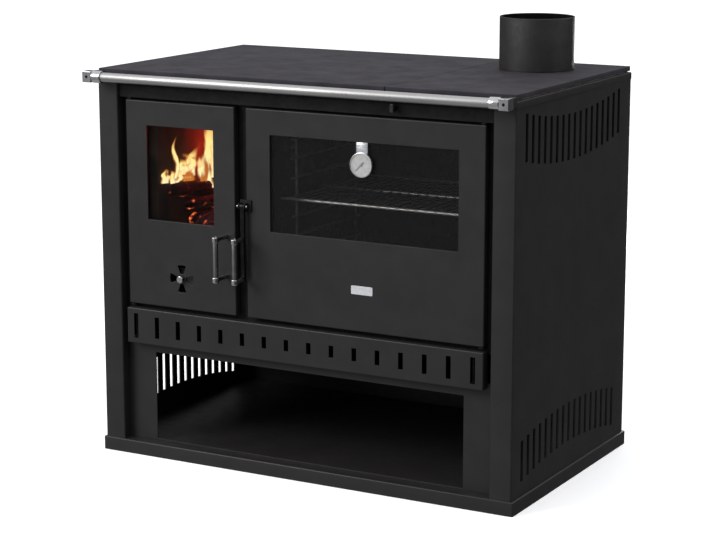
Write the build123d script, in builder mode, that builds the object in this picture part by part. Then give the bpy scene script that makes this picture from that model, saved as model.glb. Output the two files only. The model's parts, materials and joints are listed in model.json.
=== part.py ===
from build123d import *
import os
from math import cos, radians, sin

# Free-standing wood cookstove: firebox left, oven right, slotted drawer and open wood store below.
# Millimetres.  X is to the right seen from the front, -Y is the front, +Z is up, floor at Z = 0.

os.makedirs("parts", exist_ok=True)

# ---------------------------------------------------------------- driving dimensions
BASE_W = 1000.0            # plinth, left to right
BASE_D = 600.0             # plinth, front to back
BASE_H = 30.0
HOB_Z = 850.0              # cooking surface above the floor
SHEET = 3.0                # body and door sheet
THIN = 1.5                 # tray and pan sheet
FIT = 0.3                  # air between pieces that move past each other
RUN = 0.05                 # radial clearance of pins and spindles

RAIL_OUT = 35.0            # rail axis in front of the plinth's front
RAIL_R = 10.0
RAIL_DROP = 14.0           # rail axis below the cooking surface
RAIL_BLOCK = 24.0          # square end block
RAIL_BLOCK_W = 22.0
RAIL_ARM = (16.0, 20.0)    # width and height
SLEEVE_R = 13.0
SLEEVE_L = 22.0

FRONT = (RAIL_OUT + RAIL_BLOCK / 2 - BASE_D) / 2      # plinth's front face, so the whole is centred on Y
BACK = FRONT + BASE_D

BODY_HALF = BASE_W / 2 - 5         # outer face of the side panels
BODY_FRONT = FRONT + 3
BODY_BACK = BACK - 5
STILE_W = 50.0
BACK_FLANGE = 20.0

PLATE_T = 9.7              # cooking plates
SEAL_T = 3.0               # rope under the cooking plates
FRAME_T = 15.0             # hob frame
FRAME_BORDER = 60.0
FRAME_BORDER_BACK = 50.0
FRAME_HALF = BODY_HALF + 2
FRAME_FRONT = FRONT + 1
FRAME_BACK = BACK - 6
PLATE_INSET = 3.0          # cooking plates stand back from the hob frame's edge
SEAL_INSET = 8.0
SEAL_W = 10.0
SEAM_X = FRAME_HALF - 292.5        # joint between the two cooking plates
SEAM_GAP = 1.0

SEAL_TOP = HOB_Z - PLATE_T - FIT
FRAME_TOP = SEAL_TOP - SEAL_T
FRAME_Z = FRAME_TOP - FRAME_T      # underside of the hob frame, top of the body

COLLAR_R = 80.0            # flue collar, outside
COLLAR_WALL = 3.0
COLLAR_X = FRAME_HALF - 158
COLLAR_Y = BODY_BACK - 155
COLLAR_H = 113.0                   # above the cooking surface
COLLAR_FLANGE_R = 90.0             # under the plate
COLLAR_FLANGE_T = 4.0
COLLAR_NECK_R = 79.0               # where the collar passes through the plate
COLLAR_NECK_H = 2.0                # the neck shows this much above the plate
COLLAR_TOP = HOB_Z + COLLAR_H

DOOR_EDGE = 67.5                   # from the body's side to a door's outer edge
DOOR_GAP = 28.0                    # between the two doors
FIREBOX_DOOR_W = 274.0
DOOR_Z = (340.0, FRAME_Z - 36)
DOOR_FRONT = FRONT + 8
FIREBOX_DOOR_X = (DOOR_EDGE - BODY_HALF, DOOR_EDGE - BODY_HALF + FIREBOX_DOOR_W)
OVEN_DOOR_X = (FIREBOX_DOOR_X[1] + DOOR_GAP, BODY_HALF - DOOR_EDGE)
DOOR_RETURN_Y = FRONT + 24         # back edge of a door's folded rim
CARCASS_Y = FRONT + 28             # front face of the carcass plate
MOUTH_INSET = 30.0                 # from a door's outline to the opening behind it
LINER_Y = FRONT + 17
ROPE_INSET = 13.0
ROPE_W = 12.0
PIN_R = 3.0
PIN_INSET = 7.0
PIN_Y = FRONT + 16
LUG_T = 3.0

GLASS_T = 5.0
GLASS_LAP = 11.0
RETAINER_T = 2.0
RETAINER_LAP = 16.0
WINDOW_H = 204.0
WINDOW_TOP_BORDER = 53.0
FIREBOX_WINDOW_BORDER = 53.0       # on each side of the window
OVEN_WINDOW_BORDER = 58.5
WINDOW_Z = (DOOR_Z[1] - WINDOW_TOP_BORDER - WINDOW_H, DOOR_Z[1] - WINDOW_TOP_BORDER)

DRAWER_Z = (252.5, 331.0)
DRAWER_HALF = BODY_HALF - 64.5
DRAWER_FRONT = FRONT + 1
DRAWER_SLOTS = 16
DRAWER_SLOT_EDGE = 23.25           # from the drawer's end to the middle of its first slot
DRAWER_SLOT_PITCH = 2 * (DRAWER_HALF - DRAWER_SLOT_EDGE) / (DRAWER_SLOTS - 1)
DRAWER_SLOT_W = 11.0
DRAWER_SLOT_END_H = 55.0           # the outermost slots
DRAWER_SLOT_MID_H = 24.0           # between the two middle slots
TRAY_HALF = DRAWER_HALF - 22.5
TRAY_Z = (DRAWER_Z[0] + 13.5, DRAWER_Z[1] - 15)
TRAY_BACK = BACK - 160
RUNNER_Z = TRAY_Z[0] - FIT       # the tray slides on this

NICHE_HALF = BODY_HALF - 120
NICHE_Z = (34.0, 230.0)
DECK_Z = DRAWER_Z[0] - 7.5

VENT_SLOTS = 17
VENT_W = 12.0
VENT_Y = (BODY_FRONT + 49.2, BODY_BACK - 69.2)     # first and last vent of each row
VENT_PITCH = (VENT_Y[1] - VENT_Y[0]) / (VENT_SLOTS - 1)
VENT_SAG = 24.0                    # bow of the row from its ends to its middle
UPPER_VENT_Z = (FRAME_Z - 110, FRAME_Z - 14)
LOWER_VENT_Z = (60.0, 146.0)

FIREBOX_WALL = 4.0
FIREBOX_BACK = BACK - 120
FIREBOX_RIM_Z = FRAME_Z - 57       # smoke leaves over this wall
BRICK_T = 30.0
BRICK_JOINT = 1.0
GRATE_Z = (446.0, 458.0)
GRATE_SLOTS = 7
GRATE_SLOT_PITCH = 20.0
GRATE_SLOT_W = 10.0
GRATE_SLOT_END = 50.0              # from the grate's end to its slots
BRICK_Z = (GRATE_Z[1], DOOR_Z[1] - 38)
ASH_PAN_TOP = 425.0
ASH_PAN_SIDE = 12.0                # from the firebox wall
ASH_PAN_BEHIND = 40.0
ASH_TAB = (60.0, 10.0, 2.0)
OVEN_BACK = BACK - 130
CASING_BACK = BACK - 60
CASING_RIGHT = BODY_HALF - 61
CASING_T = 2.0

FASCIA_H = 31.0
FASCIA_T = 2.0
DAMPER_X = SEAM_X + 21.5
DAMPER_Z = FRAME_Z - 14
DAMPER_ROD_R = 4.0
DAMPER_PLATE_T = 3.0
DAMPER_PLATE_X = (SEAM_X + 13.5, FRAME_HALF - FRAME_BORDER - 10)
DAMPER_PLATE_D = 170.0
GUIDE_AHEAD = 195.0                # the damper guides, from the collar's axis to the front
GUIDE_BEHIND = 92.0
GUIDE_T = 3.0
GUIDE_NOTCH = 60.0                 # the right guide is cut down from here to the back, under the flange
DAMPER_KNOB = (10.0, 14.0, 18.0)

GRIP_Z = (418.0, 516.0)            # both door grips
GRIP_R = 6.0
GRIP_CAP_R = 8.0
GRIP_CAP_L = 12.0
GRIP_ARM_R = 5.0
GRIP_Y = FRONT - 37
FIREBOX_GRIP_X = FIREBOX_DOOR_X[1] - 21.5
OVEN_GRIP_X = OVEN_DOOR_X[0] - 2.5

LEVER_W = 10.0
LEVER_Y = (FRONT - 5.5, FRONT - 0.5)
LEVER_PIVOT = (FRONT - 3.0, GRIP_Z[1] + 64)
LEVER_NOSE = 6.0
LEVER_PIN_X = (OVEN_GRIP_X - 13, OVEN_GRIP_X + 12)
EAR_T = 3.0

ROSETTE_Z = 406.0
ROSETTE_R = (11.0, 30.0)
ROSETTE_HOLE_DEG = 40.0
SHUTTER_R = 34.0
SHUTTER_T = 1.5
SPINDLE_R = 3.0
AIR_KNOB_R = 8.0

THERMO_R = 26.0
THERMO_X_OFFSET = -1.0             # from the oven door's middle
THERMO_Z = WINDOW_Z[1] - 46
THERMO_Y = (FRONT + 4, FRONT + 10)
THERMO_TAB_W = 26.0

BADGE = (50.0, 1.0, 18.0)
BADGE_Z = 427.0

CATCH_Z = (DOOR_Z[0] + DOOR_Z[1]) / 2 - 2
STRIKER_H = 16.0
STRIKER_INSET = (4.5, 10.5)
CATCH_SLOT_INSET = (2.0, 13.0)
CATCH_LEAF_T = 1.0

RACK_Z = 589.0
RACK_Y = (FRONT + 80, OVEN_BACK - 30)
RACK_WIRE_R = 3.0
RACK_ROD_R = 1.75
RACK_RODS = 21
RACK_ROD_EDGE = 10.0               # from the rack's side to the axis of its first rod
RACK_SIDE_LAP = 4.0                # the rack's cross bars rest this far over the ladders
LADDER_Y = (FRONT + 140, OVEN_BACK - 70)
LADDER_Z = (DOOR_Z[0] + 60, DOOR_Z[1] - 66)
LADDER_R = 2.5
LADDER_RUNGS = 8
LADDER_RUNG_PITCH = 42.0
LADDER_OVERRUN = 20.0              # rungs past the uprights
LADDER_FOOT = 30.0                 # from an upright's end to its wall stub
LADDER_OFF_WALL = 14.0

# ---------------------------------------------------------------- shared helpers


def front_plane(y):
    """Sketch plane facing the front, at a given Y; its axes are X and Z."""
    return Plane.XZ.offset(-y)


def span(u, v, mode=Mode.ADD):
    """Rectangle in the open sketch, given by its limits."""
    with Locations(((u[0] + u[1]) / 2, (v[0] + v[1]) / 2)):
        Rectangle(u[1] - u[0], v[1] - v[0], mode=mode)


def slab(x, y, z, mode=Mode.ADD):
    """Rectangular piece in the open part, given by its limits."""
    with Locations(((x[0] + x[1]) / 2, (y[0] + y[1]) / 2, (z[0] + z[1]) / 2)):
        Box(x[1] - x[0], y[1] - y[0], z[1] - z[0], mode=mode)


def rod(start, axis, length, radius, mode=Mode.ADD):
    """Round bar in the open part from its start point along X, Y or Z."""
    turn = {"X": (0, 90, 0), "Y": (-90, 0, 0), "Z": (0, 0, 0)}[axis]
    with Locations(Location(start, turn)):
        Cylinder(radius, length, align=(Align.CENTER, Align.CENTER, Align.MIN), mode=mode)


def inset(limits, amount):
    return (limits[0] + amount, limits[1] - amount)


def middle(limits):
    return (limits[0] + limits[1]) / 2


def around(centre, width):
    return (centre - width / 2, centre + width / 2)


def keep(builder, node):
    builder.part.label = node
    export_step(builder.part, f"parts/{node}.step")


# ---------------------------------------------------------------- plinth and body panels

with BuildPart() as plinth:
    slab(around(0, BASE_W), (FRONT, BACK), (0, BASE_H))
    slab(around(0, BASE_W - 2 * SHEET), (FRONT + SHEET, BACK - SHEET), (0, BASE_H - SHEET), Mode.SUBTRACT)
    fillet(plinth.edges().filter_by(Axis.Z).group_by(SortBy.LENGTH)[-1], 2)
keep(plinth, "plinth")


def vent_offsets():
    """Place and bow of each side vent: distance along Y and drop from the row's ends."""
    half = (VENT_SLOTS - 1) / 2
    for index in range(VENT_SLOTS):
        step = index - half
        yield step * VENT_PITCH, VENT_SAG * (1 - (step / half) ** 2)


for side, node in ((-1, "side_panel_left"), (1, "side_panel_right")):
    outer = side * BODY_HALF
    with BuildPart() as side_panel:
        with BuildSketch(Plane.XY.offset(BASE_H)):
            span(sorted((outer, outer - side * SHEET)), (BODY_FRONT, BODY_BACK))
            span(sorted((outer, outer - side * STILE_W)), (BODY_FRONT, BODY_FRONT + SHEET))
            span(
                sorted((outer - side * STILE_W, outer - side * (STILE_W - SHEET))),
                (BODY_FRONT, CARCASS_Y),
            )
            span(sorted((outer, outer - side * BACK_FLANGE)), (BODY_BACK - SHEET, BODY_BACK))
        extrude(amount=FRAME_Z - BASE_H)
        with BuildSketch(Plane.YZ.offset(min(outer, outer - side * SHEET))):
            for along, bow in vent_offsets():
                for limits, sign in ((UPPER_VENT_Z, -1), (LOWER_VENT_Z, 1)):
                    with Locations((middle(VENT_Y) + along, middle(limits) + sign * bow)):
                        Rectangle(VENT_W, limits[1] - limits[0])
        extrude(amount=SHEET, mode=Mode.SUBTRACT)
    keep(side_panel, node)

with BuildPart() as back_panel:
    slab(
        around(0, 2 * (BODY_HALF - SHEET)),
        (BODY_BACK - 2 * SHEET, BODY_BACK - SHEET),
        (BASE_H, FRAME_Z),
    )
keep(back_panel, "back_panel")

FIREBOX_MOUTH_X = inset(FIREBOX_DOOR_X, MOUTH_INSET)
OVEN_MOUTH_X = inset(OVEN_DOOR_X, MOUTH_INSET)
MOUTH_Z = inset(DOOR_Z, MOUTH_INSET)


def mirrored(limits, edge, side):
    """Limits measured inwards from a door's free edge, as X limits."""
    return sorted((edge + side * limits[0], edge + side * limits[1]))


# free edge of each door and the way inwards from it
FREE_EDGES = ((FIREBOX_DOOR_X[1], -1), (OVEN_DOOR_X[0], 1))

PLATE_X = around(0, 2 * (BODY_HALF - SHEET))

with BuildPart() as front_plate:
    with BuildSketch(front_plane(CARCASS_Y)):
        span(PLATE_X, (TRAY_Z[1] + 6, FRAME_Z))
        span(FIREBOX_MOUTH_X, MOUTH_Z, Mode.SUBTRACT)
        span(OVEN_MOUTH_X, MOUTH_Z, Mode.SUBTRACT)
        for edge, side in FREE_EDGES:
            span(mirrored(CATCH_SLOT_INSET, edge, side), around(CATCH_Z, STRIKER_H + 6), Mode.SUBTRACT)
        with Locations((DAMPER_X, DAMPER_Z)):
            Circle(DAMPER_ROD_R + FIT, mode=Mode.SUBTRACT)
    extrude(amount=-SHEET)
keep(front_plate, "front_plate")

with BuildPart() as store_frame:
    with BuildSketch(front_plane(CARCASS_Y)):
        span(PLATE_X, (BASE_H, TRAY_Z[0] - 4))
        span(around(0, 2 * NICHE_HALF), NICHE_Z, Mode.SUBTRACT)
    extrude(amount=-SHEET)
keep(store_frame, "store_frame")

with BuildPart() as fascia:
    FASCIA_X = around(0, 2 * (BODY_HALF - STILE_W))
    fascia_z = FRAME_Z - FASCIA_H
    slab(FASCIA_X, (FRONT + 10, FRONT + 10 + FASCIA_T), (fascia_z, FRAME_Z))
    for flange in ((fascia_z, fascia_z + FASCIA_T), (FRAME_Z - FASCIA_T, FRAME_Z)):
        slab(FASCIA_X, (FRONT + 10 + FASCIA_T, CARCASS_Y), flange)
    rod((DAMPER_X, FRONT + 9, DAMPER_Z), "Y", 4, DAMPER_ROD_R + FIT, Mode.SUBTRACT)
keep(fascia, "fascia")

with BuildPart() as store_deck:
    slab(
        PLATE_X,
        (CARCASS_Y + SHEET, BODY_BACK - 2 * SHEET),
        (DECK_Z, DECK_Z + 2),
    )
keep(store_deck, "store_deck")

with BuildPart() as drawer_runners:
    for side in (-1, 1):
        inner, outer = side * (TRAY_HALF - 10), side * (TRAY_HALF + 6)
        slab(sorted((inner, outer)), (CARCASS_Y + SHEET, TRAY_BACK), (RUNNER_Z - 2, RUNNER_Z))
        slab(sorted((outer, outer - side * 2)), (CARCASS_Y + SHEET, TRAY_BACK), (RUNNER_Z, TRAY_Z[1] - 6))
        slab(sorted((outer, outer - side * 2)), (CARCASS_Y + SHEET, TRAY_BACK), (DECK_Z + 2, RUNNER_Z - 2))
keep(drawer_runners, "drawer_runners")

# ---------------------------------------------------------------- hob

with BuildPart() as hob_frame:
    with BuildSketch(Plane.XY.offset(FRAME_Z)):
        span(around(0, 2 * FRAME_HALF), (FRAME_FRONT, FRAME_BACK))
        span(
            around(0, 2 * (FRAME_HALF - FRAME_BORDER)),
            (FRAME_FRONT + FRAME_BORDER, FRAME_BACK - FRAME_BORDER_BACK),
            Mode.SUBTRACT,
        )
    extrude(amount=FRAME_T)
    fillet(hob_frame.edges().filter_by(Axis.Z).sort_by_distance((0, 0, FRAME_Z))[4:], 4)
    fillet(hob_frame.faces().sort_by(Axis.Z)[-1].outer_wire().edges(), 1.5)
keep(hob_frame, "hob_frame")

with BuildPart() as hob_seal:
    with BuildSketch(Plane.XY.offset(FRAME_TOP)):
        SEAL_X = around(0, 2 * (FRAME_HALF - SEAL_INSET))
        SEAL_Y = inset((FRAME_FRONT, FRAME_BACK), SEAL_INSET)
        span(SEAL_X, SEAL_Y)
        span(inset(SEAL_X, SEAL_W), inset(SEAL_Y, SEAL_W), Mode.SUBTRACT)
    extrude(amount=SEAL_T)
keep(hob_seal, "hob_seal")

PLATE_EDGE = FRAME_HALF - PLATE_INSET
PLATE_Y = inset((FRAME_FRONT, FRAME_BACK), PLATE_INSET)

with BuildPart() as hob_plate_left:
    slab((-PLATE_EDGE, SEAM_X - SEAM_GAP / 2), PLATE_Y, (HOB_Z - PLATE_T, HOB_Z))
    fillet(hob_plate_left.edges().filter_by(Axis.Z).sort_by(Axis.X)[:2], 4)
    fillet(hob_plate_left.faces().sort_by(Axis.Z)[-1].edges(), 1)
keep(hob_plate_left, "hob_plate_left")

with BuildPart() as hob_plate_right:
    slab((SEAM_X + SEAM_GAP / 2, PLATE_EDGE), PLATE_Y, (SEAL_TOP, HOB_Z))
    fillet(hob_plate_right.edges().filter_by(Axis.Z).sort_by(Axis.X)[-2:], 4)
    fillet(hob_plate_right.faces().sort_by(Axis.Z)[-1].edges(), 1)
    rod((COLLAR_X, COLLAR_Y, SEAL_TOP), "Z", HOB_Z - SEAL_TOP, COLLAR_NECK_R, Mode.SUBTRACT)
keep(hob_plate_right, "hob_plate_right")

with BuildPart() as flue_collar:
    foot = (COLLAR_X, COLLAR_Y, SEAL_TOP - COLLAR_FLANGE_T)
    neck_top = HOB_Z + COLLAR_NECK_H
    rod(foot, "Z", COLLAR_FLANGE_T, COLLAR_FLANGE_R)
    rod(foot, "Z", neck_top - foot[2], COLLAR_NECK_R)
    rod((COLLAR_X, COLLAR_Y, neck_top), "Z", COLLAR_TOP - neck_top, COLLAR_R)
    rod(foot, "Z", COLLAR_TOP - foot[2], COLLAR_R - COLLAR_WALL, Mode.SUBTRACT)
keep(flue_collar, "flue_collar")

# ---------------------------------------------------------------- towel rail

RAIL_Y = FRONT - RAIL_OUT
RAIL_Z = HOB_Z - RAIL_DROP
BLOCK_X = BASE_W / 2 - RAIL_BLOCK_W / 2
BAR_HALF = BASE_W / 2 - RAIL_BLOCK_W

with BuildPart() as rail_bar:
    rod((-BAR_HALF, RAIL_Y, RAIL_Z), "X", 2 * BAR_HALF, RAIL_R)
keep(rail_bar, "rail_bar")

with BuildPart() as rail_sleeves:
    for start in (-BAR_HALF, BAR_HALF - SLEEVE_L):
        rod((start, RAIL_Y, RAIL_Z), "X", SLEEVE_L, SLEEVE_R)
        rod((start, RAIL_Y, RAIL_Z), "X", SLEEVE_L, RAIL_R, Mode.SUBTRACT)
keep(rail_sleeves, "rail_sleeves")

SCREW_R = 3.0
SCREW_DEPTH = 6.0

with BuildPart() as rail_blocks:
    for side in (-1, 1):
        slab(around(side * BLOCK_X, RAIL_BLOCK_W), around(RAIL_Y, RAIL_BLOCK), around(RAIL_Z, RAIL_BLOCK))
    fillet(rail_blocks.edges(), 1.5)
    for side in (-1, 1):
        rod((side * BLOCK_X, RAIL_Y - RAIL_BLOCK / 2, RAIL_Z), "Y", SCREW_DEPTH, SCREW_R, Mode.SUBTRACT)
keep(rail_blocks, "rail_blocks")

with BuildPart() as rail_screws:
    for side in (-1, 1):
        rod((side * BLOCK_X, RAIL_Y - RAIL_BLOCK / 2 + 2, RAIL_Z), "Y", SCREW_DEPTH - 2, SCREW_R)
keep(rail_screws, "rail_screws")

with BuildPart() as rail_arms:
    for side in (-1, 1):
        slab(
            around(side * (BLOCK_X - 1), RAIL_ARM[0]),
            (RAIL_Y + RAIL_BLOCK / 2, FRAME_FRONT),
            around(RAIL_Z, RAIL_ARM[1]),
        )
keep(rail_arms, "rail_arms")

# ---------------------------------------------------------------- firebox, ash pan, oven and smoke casing

FLOOR_Z = MOUTH_Z[0]
FIREBOX_X = FIREBOX_MOUTH_X
INSIDE_Y = CARCASS_Y + SHEET

with BuildPart() as firebox_shell:
    slab(
        inset(FIREBOX_X, -FIREBOX_WALL),
        (INSIDE_Y, FIREBOX_BACK),
        (FLOOR_Z - FIREBOX_WALL, FRAME_Z),
    )
    slab(FIREBOX_X, (INSIDE_Y, FIREBOX_BACK - FIREBOX_WALL), (FLOOR_Z, FRAME_Z), Mode.SUBTRACT)
    right_wall = (FIREBOX_X[1], FIREBOX_X[1] + FIREBOX_WALL)
    slab(right_wall, (INSIDE_Y, FIREBOX_BACK), (FIREBOX_RIM_Z, FRAME_Z), Mode.SUBTRACT)
    for side, wall in ((1, FIREBOX_X[0]), (-1, FIREBOX_X[1])):
        ledge = sorted((wall, wall + side * 8))
        slab(ledge, (INSIDE_Y, FIREBOX_BACK - FIREBOX_WALL), (GRATE_Z[0] - 8, GRATE_Z[0]))
keep(firebox_shell, "firebox_shell")

BRICK_Y = (INSIDE_Y + 6, FIREBOX_BACK - FIREBOX_WALL)

with BuildPart() as firebricks:
    for side, wall in ((1, FIREBOX_X[0]), (-1, FIREBOX_X[1])):
        for half in ((BRICK_Y[0], middle(BRICK_Y)), (middle(BRICK_Y) + BRICK_JOINT, BRICK_Y[1])):
            slab(sorted((wall, wall + side * BRICK_T)), half, BRICK_Z)
    slab(inset(FIREBOX_X, BRICK_T + BRICK_JOINT), (BRICK_Y[1] - BRICK_T, BRICK_Y[1]), BRICK_Z)
keep(firebricks, "firebricks")

with BuildPart() as fire_grate:
    slab(FIREBOX_X, BRICK_Y, GRATE_Z)
    for index in range(GRATE_SLOTS):
        centre = middle(FIREBOX_X) + (index - (GRATE_SLOTS - 1) / 2) * GRATE_SLOT_PITCH
        slab(around(centre, GRATE_SLOT_W), inset(BRICK_Y, GRATE_SLOT_END), GRATE_Z, Mode.SUBTRACT)
keep(fire_grate, "fire_grate")

ASH_PAN_X = inset(FIREBOX_X, ASH_PAN_SIDE)
ASH_PAN_Y = (INSIDE_Y + ASH_PAN_SIDE, FIREBOX_BACK - ASH_PAN_BEHIND)

with BuildPart() as ash_pan:
    slab(ASH_PAN_X, ASH_PAN_Y, (FLOOR_Z, ASH_PAN_TOP))
    slab(inset(ASH_PAN_X, THIN), inset(ASH_PAN_Y, THIN), (FLOOR_Z + THIN, ASH_PAN_TOP), Mode.SUBTRACT)
    tab_w, tab_d, tab_t = ASH_TAB
    slab(
        around(middle(FIREBOX_X), tab_w),
        (ASH_PAN_Y[0] - tab_d, ASH_PAN_Y[0]),
        (ASH_PAN_TOP - tab_t, ASH_PAN_TOP),
    )
keep(ash_pan, "ash_pan")

with BuildPart() as oven_box:
    slab(inset(OVEN_MOUTH_X, -SHEET), (INSIDE_Y, OVEN_BACK), inset(MOUTH_Z, -SHEET))
    slab(OVEN_MOUTH_X, (INSIDE_Y, OVEN_BACK - SHEET), MOUTH_Z, Mode.SUBTRACT)
keep(oven_box, "oven_box")

CASING_FLOOR_Z = (FLOOR_Z - FIREBOX_WALL - CASING_T, FLOOR_Z - FIREBOX_WALL)

with BuildPart() as smoke_casing:
    casing_left = FIREBOX_X[0] - FIREBOX_WALL
    casing_inner_y = CASING_BACK - CASING_T
    wall_z = (CASING_FLOOR_Z[1], FRAME_Z)
    slab((casing_left, CASING_RIGHT), (INSIDE_Y, CASING_BACK), CASING_FLOOR_Z)
    slab((casing_left, CASING_RIGHT), (casing_inner_y, CASING_BACK), wall_z)
    slab((CASING_RIGHT - CASING_T, CASING_RIGHT), (INSIDE_Y, casing_inner_y), wall_z)
    slab((casing_left, casing_left + CASING_T), (FIREBOX_BACK, casing_inner_y), wall_z)
keep(smoke_casing, "smoke_casing")

LADDER_X = (OVEN_MOUTH_X[0] + LADDER_OFF_WALL, OVEN_MOUTH_X[1] - LADDER_OFF_WALL)

with BuildPart() as oven_ladders:
    for side, x in ((-1, LADDER_X[0]), (1, LADDER_X[1])):
        for y in LADDER_Y:
            rod((x, y, LADDER_Z[0]), "Z", LADDER_Z[1] - LADDER_Z[0], LADDER_R)
            for z in inset(LADDER_Z, LADDER_FOOT):
                wall = x + side * LADDER_OFF_WALL
                rod((min(x, wall), y, z), "X", LADDER_OFF_WALL, LADDER_R)
        for index in range(LADDER_RUNGS):
            z = RACK_Z - RACK_WIRE_R - LADDER_R + (index - LADDER_RUNGS // 2) * LADDER_RUNG_PITCH
            rung = inset(LADDER_Y, -LADDER_OVERRUN)
            rod((x, rung[0], z), "Y", rung[1] - rung[0], LADDER_R)
keep(oven_ladders, "oven_ladders")

RACK_X = (LADDER_X[0] + LADDER_R, LADDER_X[1] - LADDER_R)

RACK_BAR_X = inset(RACK_X, -RACK_SIDE_LAP)

with BuildPart() as oven_rack:
    for y in (RACK_Y[0], middle(RACK_Y), RACK_Y[1]):
        rod((RACK_BAR_X[0], y, RACK_Z), "X", RACK_BAR_X[1] - RACK_BAR_X[0], RACK_WIRE_R)
    rods_x = inset(RACK_X, RACK_ROD_EDGE)
    for index in range(RACK_RODS):
        x = rods_x[0] + (rods_x[1] - rods_x[0]) * index / (RACK_RODS - 1)
        rod((x, RACK_Y[0], RACK_Z), "Y", RACK_Y[1] - RACK_Y[0], RACK_ROD_R)
keep(oven_rack, "oven_rack")

# ---------------------------------------------------------------- smoke damper under the flue collar

DAMPER_PLATE_Y = around(COLLAR_Y, DAMPER_PLATE_D)
DAMPER_PLATE_Z = (DAMPER_Z + DAMPER_ROD_R, DAMPER_Z + DAMPER_ROD_R + DAMPER_PLATE_T)
KNOB_BACK = FRONT + 6

with BuildPart() as damper_slide:
    rod((DAMPER_X, KNOB_BACK, DAMPER_Z), "Y", DAMPER_PLATE_Y[1] - KNOB_BACK, DAMPER_ROD_R)
    slab(DAMPER_PLATE_X, DAMPER_PLATE_Y, (DAMPER_PLATE_Z[0] - 0.5, DAMPER_PLATE_Z[1]))
keep(damper_slide, "damper_slide")

with BuildPart() as damper_knob:
    slab(
        around(DAMPER_X, DAMPER_KNOB[0]),
        (KNOB_BACK - DAMPER_KNOB[1], KNOB_BACK),
        around(DAMPER_Z, DAMPER_KNOB[2]),
    )
    fillet(damper_knob.edges().filter_by(Axis.Y), 4)
    fillet(damper_knob.faces().sort_by(Axis.Y)[0].edges(), 1.5)
keep(damper_knob, "damper_knob")

GUIDE_Y = (COLLAR_Y - GUIDE_AHEAD, COLLAR_Y + GUIDE_BEHIND)
GUIDE_LIP_TOP = DAMPER_PLATE_Z[0] - 0.5 - FIT
GUIDE_LIP_Z = (GUIDE_LIP_TOP - 2, GUIDE_LIP_TOP)
GUIDE_AHEAD_Y = (GUIDE_Y[0], COLLAR_Y - GUIDE_NOTCH)

with BuildPart() as damper_guides:
    left, right = inset(DAMPER_PLATE_X, -FIT)
    under_flange = SEAL_TOP - COLLAR_FLANGE_T
    slab((left - GUIDE_T, left), GUIDE_Y, (GUIDE_LIP_Z[0], SEAL_TOP))
    slab((left, left + 3), GUIDE_Y, GUIDE_LIP_Z)
    slab((right, right + GUIDE_T), GUIDE_Y, (GUIDE_LIP_Z[0], under_flange))
    slab((right + GUIDE_T - 1, right + GUIDE_T), GUIDE_AHEAD_Y, (under_flange, SEAL_TOP))
    slab((right - 8, right), GUIDE_Y, GUIDE_LIP_Z)
keep(damper_guides, "damper_guides")

# ---------------------------------------------------------------- door hardware fixed to the carcass

HINGE_X = {"firebox": FIREBOX_DOOR_X[0] + PIN_INSET, "oven": OVEN_DOOR_X[1] - PIN_INSET}
LUG_TOP_Z = (DOOR_Z[1] + 1, DOOR_Z[1] + 1 + LUG_T)
LUG_BOTTOM_Z = (DOOR_Z[0] - 1 - LUG_T, DOOR_Z[0] - 1)

with BuildPart() as hinge_lugs:
    for x in HINGE_X.values():
        for limits in (LUG_TOP_Z, LUG_BOTTOM_Z):
            with BuildSketch(Plane.XY.offset(limits[0])):
                span(around(x, 14), (PIN_Y, CARCASS_Y))
                with Locations((x, PIN_Y)):
                    Circle(7)
                    Circle(PIN_R + RUN, mode=Mode.SUBTRACT)
            extrude(amount=LUG_T)
keep(hinge_lugs, "hinge_lugs")

with BuildPart() as catch_clips:
    for edge, side in FREE_EDGES:
        reach = mirrored(CATCH_SLOT_INSET, edge, side)
        for up in (-1, 1):
            inner = CATCH_Z + up * (STRIKER_H / 2 + 0.5)
            leaf = sorted((inner, inner + up * CATCH_LEAF_T))
            foot = sorted((inner, inner + up * 14))
            slab(reach, (INSIDE_Y, INSIDE_Y + 18), leaf)
            slab(reach, (INSIDE_Y, INSIDE_Y + CATCH_LEAF_T), foot)
keep(catch_clips, "catch_clips")

# ---------------------------------------------------------------- doors


def draw_rosette(x):
    """The air rosette's four wedges in the open sketch, wider outwards."""
    web = radians(45 - ROSETTE_HOLE_DEG / 2)
    reach = 2 * ROSETTE_R[1]
    with Locations((x, ROSETTE_Z)):
        Circle(ROSETTE_R[1])
        Circle(ROSETTE_R[0], mode=Mode.SUBTRACT)
    for quarter in range(4):
        with Locations(Location((x, ROSETTE_Z, 0), (0, 0, 45 + 90 * quarter))):
            Polygon(
                (0, 0),
                (reach * cos(web), reach * sin(web)),
                (reach * cos(web), -reach * sin(web)),
                align=None,
                mode=Mode.SUBTRACT,
            )


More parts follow.
